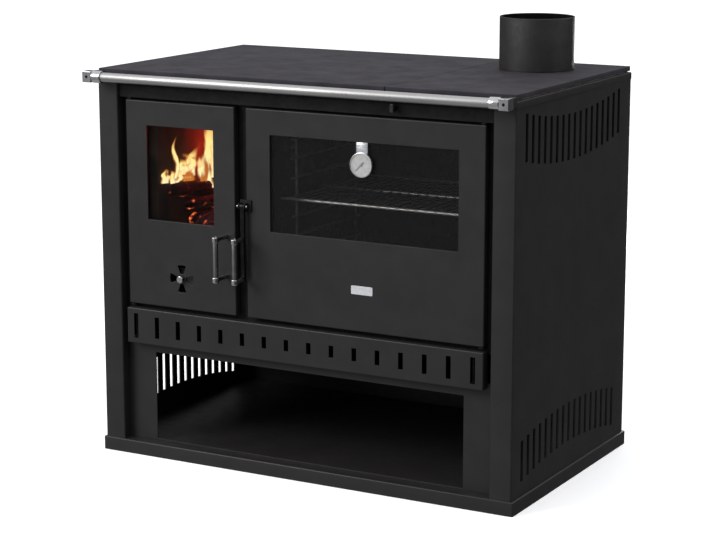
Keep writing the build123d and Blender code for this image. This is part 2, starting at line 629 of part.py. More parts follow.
def build_door(name, x, window_border, hinge_x, free):
    """Panel, liner, glass, retainer, rope and pins of one door; free is its free edge and way inwards."""
    window_x = inset(x, window_border)
    rosette = name == "firebox"

    with BuildPart() as panel:
        with BuildSketch(front_plane(DOOR_FRONT)):
            span(x, DOOR_Z)
            span(window_x, WINDOW_Z, Mode.SUBTRACT)
        extrude(amount=-SHEET)
        with BuildSketch(front_plane(DOOR_FRONT + SHEET)):
            span(x, DOOR_Z)
            span(inset(x, SHEET), inset(DOOR_Z, SHEET), Mode.SUBTRACT)
        extrude(amount=-(DOOR_RETURN_Y - DOOR_FRONT - SHEET))
        fillet(panel.edges().filter_by(Axis.Y).group_by(SortBy.LENGTH)[-1], 2)
        fillet(panel.faces().sort_by(Axis.Y)[0].outer_wire().edges(), 1)
        for z in (DOOR_Z[0], DOOR_Z[1] - SHEET):
            rod((hinge_x, PIN_Y, z), "Z", SHEET, PIN_R, Mode.SUBTRACT)
        if rosette:
            with BuildSketch(front_plane(DOOR_FRONT)):
                draw_rosette(middle(x))
                with Locations((middle(x), ROSETTE_Z)):
                    Circle(SPINDLE_R + RUN)
            extrude(amount=-SHEET, mode=Mode.SUBTRACT)
    keep(panel, f"{name}_door_panel")

    with BuildPart() as liner:
        with BuildSketch(front_plane(LINER_Y)):
            span(inset(x, SHEET), inset(DOOR_Z, SHEET))
            span(inset(window_x, -4), inset(WINDOW_Z, -4), Mode.SUBTRACT)
            if rosette:
                with Locations((middle(x), ROSETTE_Z)):
                    Circle(SHUTTER_R + 2, mode=Mode.SUBTRACT)
            span(around(hinge_x, 8), (DOOR_Z[1] - 22, DOOR_Z[1] - SHEET), Mode.SUBTRACT)
            span(around(hinge_x, 8), (DOOR_Z[0] + SHEET, DOOR_Z[0] + 22), Mode.SUBTRACT)
        extrude(amount=-SHEET)
        striker_x = mirrored(STRIKER_INSET, *free)
        slab(striker_x, (LINER_Y + SHEET, CARCASS_Y + 18), around(CATCH_Z, STRIKER_H))
    keep(liner, f"{name}_door_liner")

    with BuildPart() as glass:
        slab(
            inset(window_x, -GLASS_LAP),
            (DOOR_FRONT + SHEET, DOOR_FRONT + SHEET + GLASS_T),
            inset(WINDOW_Z, -GLASS_LAP),
        )
    keep(glass, f"{name}_door_glass")

    glass_back = DOOR_FRONT + SHEET + GLASS_T
    with BuildPart() as retainer:
        with BuildSketch(front_plane(glass_back)):
            span(inset(window_x, -RETAINER_LAP), inset(WINDOW_Z, -RETAINER_LAP))
            span(window_x, WINDOW_Z, Mode.SUBTRACT)
        extrude(amount=-(LINER_Y - glass_back))
    keep(retainer, f"{name}_door_retainer")

    with BuildPart() as rope:
        with BuildSketch(front_plane(LINER_Y + SHEET)):
            span(inset(x, ROPE_INSET), inset(DOOR_Z, ROPE_INSET))
            span(inset(x, ROPE_INSET + ROPE_W), inset(DOOR_Z, ROPE_INSET + ROPE_W), Mode.SUBTRACT)
        extrude(amount=-(CARCASS_Y - FIT - LINER_Y - SHEET))
        fillet(rope.faces().sort_by(Axis.Y)[-1].edges(), 3)
    keep(rope, f"{name}_door_rope")

    with BuildPart() as pins:
        rod((hinge_x, PIN_Y, DOOR_Z[1] - 18), "Z", 18 + 1 + LUG_T + 0.5, PIN_R)
        rod((hinge_x, PIN_Y, LUG_BOTTOM_Z[0] - 0.5), "Z", 18 + 1 + LUG_T + 0.5, PIN_R)
    keep(pins, f"{name}_door_pins")


build_door("firebox", FIREBOX_DOOR_X, FIREBOX_WINDOW_BORDER, HINGE_X["firebox"], FREE_EDGES[0])
build_door("oven", OVEN_DOOR_X, OVEN_WINDOW_BORDER, HINGE_X["oven"], FREE_EDGES[1])

# ---------------------------------------------------------------- firebox door: air shutter and grip

ROSETTE_X = middle(FIREBOX_DOOR_X)
SHUTTER_Y = DOOR_FRONT + SHEET + FIT

with BuildPart() as air_shutter:
    with BuildSketch(front_plane(SHUTTER_Y)):
        with Locations((ROSETTE_X, ROSETTE_Z)):
            Circle(SHUTTER_R)
    extrude(amount=-SHUTTER_T)
    with BuildSketch(front_plane(SHUTTER_Y)):
        draw_rosette(ROSETTE_X)
    extrude(amount=-SHUTTER_T, mode=Mode.SUBTRACT)
    rod((ROSETTE_X, DOOR_FRONT - 2, ROSETTE_Z), "Y", SHUTTER_Y - DOOR_FRONT + 2 + SHUTTER_T, SPINDLE_R)
keep(air_shutter, "air_shutter")

with BuildPart() as air_knob:
    rod((ROSETTE_X, DOOR_FRONT - 10, ROSETTE_Z), "Y", 10 - FIT, AIR_KNOB_R)
    rod((ROSETTE_X, DOOR_FRONT - 2, ROSETTE_Z), "Y", 2, SPINDLE_R, Mode.SUBTRACT)
    fillet(air_knob.faces().sort_by(Axis.Y)[0].edges(), 2)
keep(air_knob, "air_knob")


def grip_bar(x):
    """Round bar between the end caps of a door grip, in the open part."""
    rod((x, GRIP_Y, GRIP_Z[0] + GRIP_CAP_L), "Z", GRIP_Z[1] - GRIP_Z[0] - 2 * GRIP_CAP_L, GRIP_R)


def grip_ends(x, back):
    """End caps of a door grip and the arms that carry them from Y = back, in the open part."""
    for z in (GRIP_Z[0], GRIP_Z[1] - GRIP_CAP_L):
        rod((x, GRIP_Y, z), "Z", GRIP_CAP_L, GRIP_CAP_R)
        rod((x, GRIP_Y, z + GRIP_CAP_L / 2), "Y", back - GRIP_Y, GRIP_ARM_R)


with BuildPart() as firebox_grip_bar:
    grip_bar(FIREBOX_GRIP_X)
keep(firebox_grip_bar, "firebox_grip_bar")

with BuildPart() as firebox_grip_ends:
    grip_ends(FIREBOX_GRIP_X, DOOR_FRONT)
    cap_faces = firebox_grip_ends.faces().sort_by(Axis.Z)
    fillet(cap_faces[0].edges() + cap_faces[-1].edges(), 2)
keep(firebox_grip_ends, "firebox_grip_ends")

# ---------------------------------------------------------------- oven door: lever, thermometer, badge

pivot_y, pivot_z = LEVER_PIVOT

with BuildPart() as lever_bracket:
    slab((LEVER_PIN_X[0] + 2, OVEN_DOOR_X[0] + 14), (DOOR_FRONT - EAR_T, DOOR_FRONT), around(pivot_z, 26))
    for side in (-1, 1):
        inner = OVEN_GRIP_X + side * (LEVER_W / 2 + FIT)
        ear = sorted((inner, inner + side * EAR_T))
        slab(ear, (pivot_y, DOOR_FRONT - EAR_T), around(pivot_z, 14))
        rod((ear[0], pivot_y, pivot_z), "X", EAR_T, 7)
    rod((LEVER_PIN_X[0], pivot_y, pivot_z), "X", LEVER_PIN_X[1] - LEVER_PIN_X[0], PIN_R, Mode.SUBTRACT)
keep(lever_bracket, "lever_bracket")

with BuildPart() as lever_pin:
    rod((LEVER_PIN_X[0], pivot_y, pivot_z), "X", LEVER_PIN_X[1] - LEVER_PIN_X[0], PIN_R)
keep(lever_pin, "lever_pin")

with BuildPart() as oven_lever:
    slab(around(OVEN_GRIP_X, LEVER_W), LEVER_Y, (GRIP_Z[0], pivot_z))
    rod((OVEN_GRIP_X - LEVER_W / 2, pivot_y, pivot_z), "X", LEVER_W, LEVER_NOSE)
    rod((OVEN_GRIP_X - LEVER_W / 2, pivot_y, pivot_z), "X", LEVER_W, PIN_R + RUN, Mode.SUBTRACT)
keep(oven_lever, "oven_lever")

with BuildPart() as oven_grip_bar:
    grip_bar(OVEN_GRIP_X)
keep(oven_grip_bar, "oven_grip_bar")

with BuildPart() as oven_grip_ends:
    grip_ends(OVEN_GRIP_X, LEVER_Y[0])
    cap_faces = oven_grip_ends.faces().sort_by(Axis.Z)
    fillet(cap_faces[0].edges() + cap_faces[-1].edges(), 2)
keep(oven_grip_ends, "oven_grip_ends")

THERMO_X = middle(OVEN_DOOR_X) + THERMO_X_OFFSET
BEZEL_W = 2.5
DIAL_T = 0.8
DIAL_RECESS = 2.5

with BuildPart() as thermometer_case:
    rod((THERMO_X, THERMO_Y[0], THERMO_Z), "Y", THERMO_Y[1] - THERMO_Y[0], THERMO_R)
    rod((THERMO_X, THERMO_Y[0], THERMO_Z), "Y", DIAL_RECESS, THERMO_R - BEZEL_W, Mode.SUBTRACT)
    slab(around(THERMO_X, THERMO_TAB_W), (THERMO_Y[1], DOOR_FRONT + SHEET), (THERMO_Z, WINDOW_Z[1]))
    fillet(thermometer_case.faces().sort_by(Axis.Y)[0].edges(), 0.8)
keep(thermometer_case, "thermometer_case")

DIAL_Y = THERMO_Y[0] + DIAL_RECESS - DIAL_T

with BuildPart() as thermometer_dial:
    rod((THERMO_X, DIAL_Y, THERMO_Z), "Y", DIAL_T, THERMO_R - BEZEL_W)
    rod((THERMO_X, DIAL_Y, THERMO_Z), "Y", DIAL_T, 1 + RUN, Mode.SUBTRACT)
keep(thermometer_dial, "thermometer_dial")

NEEDLE_T = 0.6
NEEDLE_REST_DEG = 135.0    # anticlockwise from straight up, the cold end of the scale

with BuildPart() as thermometer_needle:
    with BuildSketch(front_plane(DIAL_Y - FIT - NEEDLE_T)):
        with Locations(Location((THERMO_X, THERMO_Z, 0), (0, 0, NEEDLE_REST_DEG))):
            Circle(3)
            Polygon((-1.2, 0), (1.2, 0), (0.4, 19), (-0.4, 19), align=None)
            Polygon((-2.2, -8), (2.2, -8), (1.2, 0), (-1.2, 0), align=None)
    extrude(amount=-NEEDLE_T)
    rod((THERMO_X, DIAL_Y - FIT, THERMO_Z), "Y", FIT + DIAL_T - 0.1, 1)
keep(thermometer_needle, "thermometer_needle")

with BuildPart() as badge_plate:
    slab(
        around(middle(OVEN_DOOR_X), BADGE[0]),
        (DOOR_FRONT - BADGE[1], DOOR_FRONT),
        around(BADGE_Z, BADGE[2]),
    )
    fillet(badge_plate.edges().filter_by(Axis.Y), 2)
keep(badge_plate, "badge_plate")

# ---------------------------------------------------------------- drawer

DRAWER_X = around(0, 2 * DRAWER_HALF)

with BuildPart() as drawer_front:
    slab(DRAWER_X, (DRAWER_FRONT, DRAWER_FRONT + SHEET), DRAWER_Z)
    fillet(drawer_front.faces().sort_by(Axis.Y)[0].edges(), 1)
    with BuildSketch(front_plane(DRAWER_FRONT)):
        for index in range(DRAWER_SLOTS):
            step = index - (DRAWER_SLOTS - 1) / 2
            bow = (2 * step / (DRAWER_SLOTS - 1)) ** 2
            height = DRAWER_SLOT_MID_H + (DRAWER_SLOT_END_H - DRAWER_SLOT_MID_H) * bow
            with Locations((step * DRAWER_SLOT_PITCH, middle(DRAWER_Z))):
                Rectangle(DRAWER_SLOT_W, height)
    extrude(amount=-SHEET, mode=Mode.SUBTRACT)
keep(drawer_front, "drawer_front")

with BuildPart() as drawer_rim:
    with BuildSketch(front_plane(DRAWER_FRONT + SHEET)):
        span(DRAWER_X, DRAWER_Z)
        span(inset(DRAWER_X, SHEET), inset(DRAWER_Z, SHEET), Mode.SUBTRACT)
    extrude(amount=-(DOOR_RETURN_Y - DRAWER_FRONT - SHEET))
keep(drawer_rim, "drawer_rim")

with BuildPart() as drawer_tray:
    TRAY_X = around(0, 2 * TRAY_HALF)
    TRAY_Y = (DRAWER_FRONT + SHEET, TRAY_BACK)
    slab(TRAY_X, TRAY_Y, TRAY_Z)
    slab(inset(TRAY_X, THIN), (TRAY_Y[0], TRAY_Y[1] - THIN), (TRAY_Z[0] + THIN, TRAY_Z[1]), Mode.SUBTRACT)
keep(drawer_tray, "drawer_tray")
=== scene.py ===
# %% Load the fixed frame
import json
import math

import bmesh
import bpy
from mathutils import Matrix, Vector, noise


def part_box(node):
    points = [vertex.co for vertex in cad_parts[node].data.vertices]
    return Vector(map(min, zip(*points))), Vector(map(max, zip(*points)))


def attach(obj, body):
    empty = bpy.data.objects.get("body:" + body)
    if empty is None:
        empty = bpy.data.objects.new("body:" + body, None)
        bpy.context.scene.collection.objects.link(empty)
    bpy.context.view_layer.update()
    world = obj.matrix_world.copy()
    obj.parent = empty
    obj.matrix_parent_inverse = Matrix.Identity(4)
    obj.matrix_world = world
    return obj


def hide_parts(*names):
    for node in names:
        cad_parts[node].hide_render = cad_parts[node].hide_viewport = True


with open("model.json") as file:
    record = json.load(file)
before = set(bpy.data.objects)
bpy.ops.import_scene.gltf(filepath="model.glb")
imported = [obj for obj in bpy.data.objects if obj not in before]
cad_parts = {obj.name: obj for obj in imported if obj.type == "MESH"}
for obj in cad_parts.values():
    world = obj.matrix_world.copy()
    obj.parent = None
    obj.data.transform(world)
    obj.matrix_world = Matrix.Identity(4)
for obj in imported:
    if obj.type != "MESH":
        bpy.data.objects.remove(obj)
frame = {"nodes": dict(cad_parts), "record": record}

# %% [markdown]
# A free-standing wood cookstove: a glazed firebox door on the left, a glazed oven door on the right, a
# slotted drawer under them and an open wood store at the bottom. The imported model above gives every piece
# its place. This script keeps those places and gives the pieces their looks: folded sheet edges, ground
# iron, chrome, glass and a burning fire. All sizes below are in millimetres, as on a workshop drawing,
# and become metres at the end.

MM = 0.001
scene = bpy.context.scene
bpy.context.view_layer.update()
SLOT_OF = {row["node"]: row["material_slot"] for row in frame["record"]["subparts"]}
BODY_OF = {node: body for body, nodes in frame["record"]["behaviour"]["bodies"].items() for node in nodes}


def linear(hex_colour):
    """An sRGB hex colour as the linear values that shaders use."""
    channels = [int(hex_colour[i : i + 2], 16) / 255 for i in (1, 3, 5)]
    return (*(c / 12.92 if c <= 0.04045 else ((c + 0.055) / 1.055) ** 2.4 for c in channels), 1.0)


def spans(node):
    """Limits of a CAD node along X, Y and Z in millimetres, as three (low, high) pairs."""
    low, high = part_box(node)
    return list(zip(low / MM, high / MM))


def new_object(name, data):
    """A new object in the scene."""
    made = bpy.data.objects.new(name, data)
    scene.collection.objects.link(made)
    return made


# %% [markdown]
# Every node tree in this lesson, for a material or for Geometry Nodes, is built with one small function.
# It adds a node, sets its properties, and either fills an input with a value or links a socket into it.
# The short ones after it call it for the nodes that are needed most.


# %% One function for all node trees
def add(tree, kind, inputs=None, **settings):
    """Adds a node; inputs maps a socket's name or number to a value or to another node's output."""
    node = tree.nodes.new(kind)
    for key, value in settings.items():
        setattr(node, key, value)
    for key, value in (inputs or {}).items():
        socket = node.inputs[key]
        if isinstance(value, bpy.types.NodeSocket):
            tree.links.new(value, socket)
        else:
            socket.default_value = value
    return node


def out(tree, kind, inputs=None, **settings):
    """Adds a node and returns its first output."""
    return add(tree, kind, inputs, **settings).outputs[0]


def calc(tree, operation, *values, **settings):
    """Adds a math node for one, two or three values."""
    return out(tree, "ShaderNodeMath", dict(enumerate(values)), operation=operation, **settings)


def vector_calc(tree, operation, inputs):
    """Adds a vector math node."""
    return out(tree, "ShaderNodeVectorMath", inputs, operation=operation)


def xyz(tree, **parts):
    """Adds a node that makes a vector of its parts X, Y and Z."""
    return out(tree, "ShaderNodeCombineXYZ", parts)


def ramp(tree, value, start, end, low, high, **settings):
    """Adds a node that maps a value from start and end to low and high."""
    limits = {"From Min": start, "From Max": end, "To Min": low, "To Max": high}
    return out(tree, "ShaderNodeMapRange", {"Value": value, **limits}, **settings)


def blend(tree, factor, *colours):
    """Adds a node that mixes two colours, each a hex colour or a socket."""
    ends = [linear(colour) if isinstance(colour, str) else colour for colour in colours]
    return add(tree, "ShaderNodeMix", {0: factor, 6: ends[0], 7: ends[1]}, data_type="RGBA").outputs[2]


# %% [markdown]
# ## Flat and folded sheet
# Most of a stove is laser-cut sheet. A sheet piece is an outline with holes that is carried through its
# thickness. Extruding a curve could do it, but then the edges are sharp or the size grows. Here an
# outline is a function of its inset, so the same outline can be drawn a little smaller at each step of a
# rounded or folded edge.


# %% Outlines as functions of an inset
def arc(centre, radius, start, sweep, steps):
    """Points on an arc, in degrees, anticlockwise for a positive sweep."""
    angles = [math.radians(start + sweep * i / steps) for i in range(steps + 1)]
    return [(centre[0] + radius * math.cos(a), centre[1] + radius * math.sin(a)) for a in angles]


def rectangle(u, v, corner=0.5, steps=3):
    """Rectangle with rounded corners between the limits u and v."""

    def drawn(inset):
        r = max(corner - inset, 0.05)
        (u0, u1), (v0, v1) = [(low + inset + r, high - inset - r) for low, high in (u, v)]
        centres = ((u1, v0), (u1, v1), (u0, v1), (u0, v0))
        return [p for i, centre in enumerate(centres) for p in arc(centre, r, 90 * i - 90, 90, steps)]

    return drawn


def circle(centre, radius, steps=48):
    """Circle, with the same number of points at any inset."""
    return lambda inset: arc(centre, radius - inset, 0, 360, steps)[:-1]


def polygon(points):
    """Anticlockwise polygon whose corners are mitred when it is inset."""

    def drawn(inset):
        moved = []
        for before, here, after in zip(points[-1:] + points[:-1], points, points[1:] + points[:1]):
            a = (Vector(here) - Vector(before)).normalized()
            b = (Vector(after) - Vector(here)).normalized()
            inward = Vector((-a.y - b.y, a.x + b.x))
            share = inward.length_squared / 2
            moved.append(tuple(Vector(here) + inward * (inset / share)))
        return moved

    return drawn


# %% Directions and edge profiles
def facing_front(u, v, depth):
    """Outline in X and Z; depth runs from the front (-Y) to the back."""
    return (u, depth, v)


def facing_up(u, v, depth):
    """Outline in X and Y; depth is the height."""
    return (u, v, depth)


def facing_side(u, v, depth):
    """Outline in Y and Z; depth is X."""
    return (depth, u, v)


def rounded(radius, start, way=1, steps=3):
    """Edge profile from a flat face at depth start into the side, as pairs of inset and depth.

    Its first point lies on the flat face, so that the face is shaded flat right up to the edge."""
    turns = [math.radians(90 * i / steps) for i in range(steps + 1)]
    turned = [(radius * (1 - math.sin(a)), start + way * radius * (1 - math.cos(a))) for a in turns]
    return [(radius * 1.3, start)] + turned


def flat_profile(front, back, edge=0.4, steps=2):
    """Both edges of a flat sheet between two depths, slightly rounded."""
    way = 1 if back > front else -1
    return rounded(edge, front, way, steps) + rounded(edge, back, -way, steps)[::-1]


SHEET = 3


def folded_profile(front, rim, fold=2.4, steps=5):
    """Edge of a tray: its rim is folded back from the front sheet as far as rim."""
    way = 1 if rim > front else -1
    inner = [(SHEET + i, d) for i, d in rounded(max(fold - SHEET, 0.4), front + way * SHEET, way, 2)]
    return rounded(fold, front, way, steps) + [(0, rim), (SHEET, rim)] + inner[::-1]


# %% [markdown]
# The sheet is then built ring by ring: the outline and each hole go through their edge profiles, and the
# two flat faces are filled at the ends. Flat faces stay flat-shaded and the narrow edge faces are smooth,
# so a fold catches the light as a thin line, which is how the real doors show their edges.


# %% Building a sheet piece
def close_strip(mesh, one, other):
    """Joins two rings with the same number of points."""
    for i in range(len(one)):
        j = (i + 1) % len(one)
        mesh.faces.new((one[i], one[j], other[j], other[i])).smooth = True


def add_rings(mesh, to_space, shape, steps):
    """Draws a shape at each step's inset and depth and joins the rings to a strip."""
    rings = [[mesh.verts.new(to_space(u, v, d)) for u, v in shape(i)] for i, d in steps]
    for one, other in zip(rings, rings[1:]):
        close_strip(mesh, one, other)
    return rings


def fill(mesh, rings):
    """Fills the flat face between an outer ring and the rings of its holes."""
    edges = [mesh.edges.get((vert, ring[i - 1])) for ring in rings for i, vert in enumerate(ring)]
    bmesh.ops.triangle_fill(mesh, use_beauty=True, edges=edges)


def sheet(mesh, to_space, outline, profile, holes=(), hole_profile=None):
    """Adds a closed sheet with holes to an open bmesh."""
    strips = [add_rings(mesh, to_space, outline, profile)]
    widening = [(-i, d) for i, d in hole_profile or profile]
    strips += [add_rings(mesh, to_space, hole, widening) for hole in holes]
    for end in (0, -1):
        fill(mesh, [rings[end] for rings in strips])


def new_sheet(*args):
    """An open bmesh with one sheet in it."""
    mesh = bmesh.new()
    sheet(mesh, *args)
    return mesh


CREASE = math.radians(38)


def as_mesh(mesh, name, recalculate=True):
    """The bmesh as a finished mesh in metres, with its creases marked."""
    if recalculate:
        bmesh.ops.recalc_face_normals(mesh, faces=mesh.faces)
    bmesh.ops.scale(mesh, vec=(MM, MM, MM), verts=mesh.verts)
    data = bpy.data.meshes.new(name)
    mesh.to_mesh(data)
    mesh.free()
    data.set_sharp_from_angle(angle=CREASE)
    return data


# %% [markdown]
# ## Turned and milled pieces
# Bars, caps, pins and the flue collar are round, so their half outline is turned about an axis. Blocks
# are milled and broken at the edges, which a bevel on all edges gives.


# %% Lathe and block
def lathe(mesh, centre, axis, profile, steps=40):
    """Turns a closed profile of (radius, distance along the axis) about X, Y or Z through the centre."""
    order = {"X": (2, 0, 1), "Y": (1, 2, 0), "Z": (0, 1, 2)}[axis]
    rings = []
    for radius, along in profile:
        count = steps if radius > 1e-6 else 1
        ring = []
        for i in range(count):
            turn = 2 * math.pi * i / count
            local = (radius * math.cos(turn), radius * math.sin(turn), along)
            ring.append(mesh.verts.new([c + local[order[n]] for n, c in enumerate(centre)]))
        rings.append(ring)
    closed = profile[0][0] > 1e-6
    for one, other in zip(rings, rings[1:] + (rings[:1] if closed else [])):
        if len(one) == len(other):
            close_strip(mesh, one, other)
        else:
            tip, ring = (one[0], other) if len(one) == 1 else (other[0], one)
            for i, vert in enumerate(ring):
                mesh.faces.new((tip, vert, ring[i - 1])).smooth = True


def new_turned(*args):
    """An open bmesh with one turned shape in it."""
    mesh = bmesh.new()
    lathe(mesh, *args)
    return mesh


def turned_edge(radius, edge, start=0, way=1, steps=5):
    """Profile of a round bar's rounded edge, from its end face into its side."""
    return [(radius - i, d) for i, d in rounded(edge, start, way, steps)]


def turned_side(radius, length, edge, steps=3):
    """Profile of a round bar's side with both its edges."""
    return turned_edge(radius, edge, 0, 1, steps) + turned_edge(radius, edge, length, -1, steps)[::-1]


def turned_bar(radius, length, edge):
    """Profile of a round bar with broken edges, from 0 to its length."""
    return [(0, 0)] + turned_side(radius, length, edge) + [(0, length)]


def block(mesh, low, high, edge, steps=2):
    """Rectangular block with rounded edges."""
    size = Vector(high) - Vector(low)
    middle = (Vector(high) + Vector(low)) / 2
    place = Matrix.Translation(middle) @ Matrix.Diagonal((*size, 1))
    made = bmesh.ops.create_cube(mesh, size=1, matrix=place)
    edges = list({link for vert in made["verts"] for link in vert.link_edges})
    before = set(mesh.faces)
    even = {"profile": 0.5, "affect": "EDGES", "clamp_overlap": True}
    bmesh.ops.bevel(mesh, geom=edges, offset=edge, segments=steps, **even)
    for face in set(mesh.faces) - before:
        face.smooth = face.calc_area() < 4 * edge * max(size)


# %% [markdown]
# # Finishes
# Each finish starts from what the real surface is and how it was made. Fixed values go on the shader's
# own sockets. Colour, roughness and bump come from patterns in object coordinates, whose sizes are given
# in millimetres, so the grain has the same size on a small knob and on a wide door. A pattern's numbers
# are its size, its detail, how far it is stretched along X, Y and Z and how soft its edges are. Roughness
# has its two limits in front of them, and each bump its depth in millimetres. A pattern that isn't cloudy
# is a function that adds its own nodes.


# %% Helpers for finishes
def object_place(tree):
    """The place on the piece, in metres."""
    return add(tree, "ShaderNodeTexCoord").outputs["Object"]


def cloudy(tree, size, detail=3.0, stretch=(1, 1, 1), softness=0.2, low=0.0, high=1.0):
    """Cloudy pattern with patches of a size in millimetres, as a value from low to high."""
    scale = tuple(1 / (size * MM * s) for s in stretch)
    spread = out(tree, "ShaderNodeMapping", {"Vector": object_place(tree), "Scale": scale})
    cloud = out(tree, "ShaderNodeTexNoise", {"Vector": spread, "Scale": 1.0, "Detail": detail})
    return ramp(tree, cloud, 0.5 - softness, 0.5 + softness, low, high)


def pattern(tree, recipe):
    """Adds a pattern: a cloudy one from its numbers, or another one from its function."""
    return recipe(tree) if callable(recipe) else cloudy(tree, *recipe)


def new_finish(name, fixed, colours, tint, rough, bumps):
    """A material with one principled shader, its fixed values and its patterns."""
    material = bpy.data.materials.new(name)
    material.use_nodes = True
    tree = material.node_tree
    shader = tree.nodes["Principled BSDF"]
    for key, value in fixed.items():
        shader.inputs[key].default_value = value
    tree.links.new(blend(tree, pattern(tree, tint), *colours), shader.inputs["Base Color"])
    low, high, *numbers = rough
    tree.links.new(cloudy(tree, *numbers, low=low, high=high), shader.inputs["Roughness"])
    chain = {}
    for depth, *recipe in bumps:
        height = pattern(tree, recipe[0] if callable(recipe[0]) else recipe)
        inputs = {"Height": height, "Strength": 1.0, "Distance": depth * MM, **chain}
        chain = {"Normal": out(tree, "ShaderNodeBump", inputs)}
    tree.links.new(chain["Normal"], shader.inputs["Normal"])
    return material


# %% [markdown]
# The body is sheet steel with a satin heat-resistant powder coat. The coat melts into a skin with a faint
# orange peel of one to two millimetres, which breaks up reflections, and fine dust gives the gloss a slow
# variation.

# %% Satin powder coat
satin_coat = new_finish(
    "satin_powder_coat",
    {"IOR": 1.47, "Specular IOR Level": 0.32},
    ("#242223", "#292728"),
    tint=(60,),
    rough=(0.36, 0.46, 25, 5),
    bumps=[(0.035, 1.6, 2), (0.03, 9, 1)],
)

# %% [markdown]
# Parts that nobody looks at are sprayed with a thin matt heat paint before they are bolted in. It is greyer
# and rougher, and heat leaves paler patches in it. The fascia under the cooking top gets it too, as painted
# shade of its recess.

# %% Matt heat paint
matt_paint = new_finish(
    "matt_heat_paint",
    {"IOR": 1.4, "Specular IOR Level": 0.3},
    ("#0d0d0e", "#171615"),
    tint=(45, 5),
    rough=(0.6, 0.8, 12, 4),
    bumps=[(0.05, 0.9, 2)],
)

# %% [markdown]
# The cooking plates are grey cast iron, ground flat and blacked. Grinding leaves a fine, slightly
# directional grain. Handling and heat leave broad cloudy patches that are a little browner and shinier
# than the rest.

# %% Ground and blacked cast iron
ground_iron = new_finish(
    "ground_blacked_iron",
    {"IOR": 1.5, "Specular IOR Level": 0.05},
    ("#302e32", "#3d3b3f"),
    tint=(55, 6),
    rough=(0.5, 0.64, 30, 6),
    bumps=[(0.04, 1.1, 3, (4, 1, 1)), (0.05, 14, 2)],
)

# %% [markdown]
# The frame around the plates and the flue collar are the same iron as it left the sand mould, only
# blacked: a granular skin of half a millimetre to a millimetre, and almost no shine.

# %% Sand-cast iron
cast_iron = new_finish(
    "sand_cast_iron",
    {"IOR": 1.5, "Specular IOR Level": 0.35},
    ("#1b1a1b", "#252424"),
    tint=(30, 5),
    rough=(0.45, 0.62, 8, 4),
    bumps=[(0.12, 1.2, 4), (0.08, 12, 2)],
)

# %% [markdown]
# Iron that stands in the fire loses its blacking: it turns grey-brown, with ash caught in the grain. The
# edges of its patches are softer than elsewhere.

# %% Burnt iron of the grate
burnt_iron = new_finish(
    "burnt_cast_iron",
    {"Metallic": 0.2},
    ("#1a1615", "#4a443f"),
    tint=(14, 6, (1, 1, 1), 0.25),
    rough=(0.6, 0.9, 6, 4),
    bumps=[(0.25, 1.5, 4)],
)

# %% [markdown]
# Smoke leaves soot in the flue collar: a dull, velvety black powder with a trace of brown, rough to the
# light.

# %% Soot
flue_soot = new_finish(
    "flue_soot",
    {"IOR": 1.3, "Specular IOR Level": 0.1},
    ("#060505", "#14110f"),
    tint=(25, 5),
    rough=(0.88, 0.98, 8, 4),
    bumps=[(0.3, 1.5, 5)],
)

# %% [markdown]
# Cold-rolled steel shows a fine grain along the rolling direction, and heat tints it towards straw and
# blue-grey.

# %% Cold-rolled steel
rolled_steel = new_finish(
    "cold_rolled_steel",
    {"Metallic": 1.0},
    ("#6d6a66", "#8d8b89"),
    tint=(40, 5),
    rough=(0.32, 0.5, 10, 4, (6, 1, 1)),
    bumps=[(0.02, 0.8, 2, (12, 1, 1))],
)

# %% [markdown]
# The rail's blocks and sleeves, the air knob and the grip caps are chromed. Chrome is a mirror with a
# cool tint. What the eye sees is the room, so the finish needs only faint polishing marks and a few
# duller fingerprints.

# %% Chrome plate
chrome = new_finish(
    "bright_chrome",
    {"Metallic": 1.0},
    ("#a9a8a9", "#bab9b9"),
    tint=(20,),
    rough=(0.1, 0.2, 16, 5),
    bumps=[(0.006, 1.3, 2, (5, 1, 1))],
)

# %% [markdown]
# The long rail is drawn tube with a satin chrome plate. It blurs what it mirrors, so its light runs as
# one soft band from end to end instead of a sharp white line.

# %% Satin chrome
satin_chrome = new_finish(
    "satin_chrome",
    {"Metallic": 1.0},
    ("#979695", "#a8a7a6"),
    tint=(24, 4, (10, 1, 1)),
    rough=(0.42, 0.5, 6, 3, (10, 1, 1)),
    bumps=[(0.01, 0.6, 2, (20, 1, 1))],
)

# %% [markdown]
# The grip bars are black nickel over polished steel: the same mirror, but greyer and a little blurred.

# %% Black nickel plate
black_nickel = new_finish(
    "black_nickel",
    {"Metallic": 1.0},
    ("#7b7979", "#8d8b8b"),
    tint=(18,),
    rough=(0.3, 0.42, 12, 5),
    bumps=[(0.01, 1.2, 2, (5, 1, 1))],
)

# %% [markdown]
# The oven door's lever, the air disc and the set screws are blackened steel: dipped in a hot oxide bath,
# which leaves a thin, oily black skin that still shines a little like metal.

# %% Blackened steel
black_oxide = new_finish(
    "blackened_steel",
    {"Metallic": 1.0},
    ("#201f20", "#2d2c2d"),
    tint=(14, 4),
    rough=(0.26, 0.4, 9, 5),
    bumps=[(0.02, 1.0, 2, (3, 1, 1))],
)

# %% [markdown]
# Rack wire is drawn steel with a bright zinc or nickel finish. It is duller than chrome, and fat and heat
# turn it brown in places.

# %% Bright drawn wire
bright_wire = new_finish(
    "bright_drawn_wire",
    {"Metallic": 0.8},
    ("#b9b4ac", "#e2e0dd"),
    tint=(22, 5),
    rough=(0.34, 0.46, 5, 3),
    bumps=[(0.02, 1.0, 2)],
)

# %% [markdown]
# The firebox window is clear ceramic glass with a thin brown film of smoke on its inside. A pane this
# thin hardly bends what is behind it, so it is a polished dark film that lets most of the light straight
# through: the alpha is the share that each face keeps back. Light then reaches the inside of the firebox
# without grain. The oven window is the same glass with a smoked coat. It keeps back more light, so the
# oven stays dark and only the bright wire shows through.

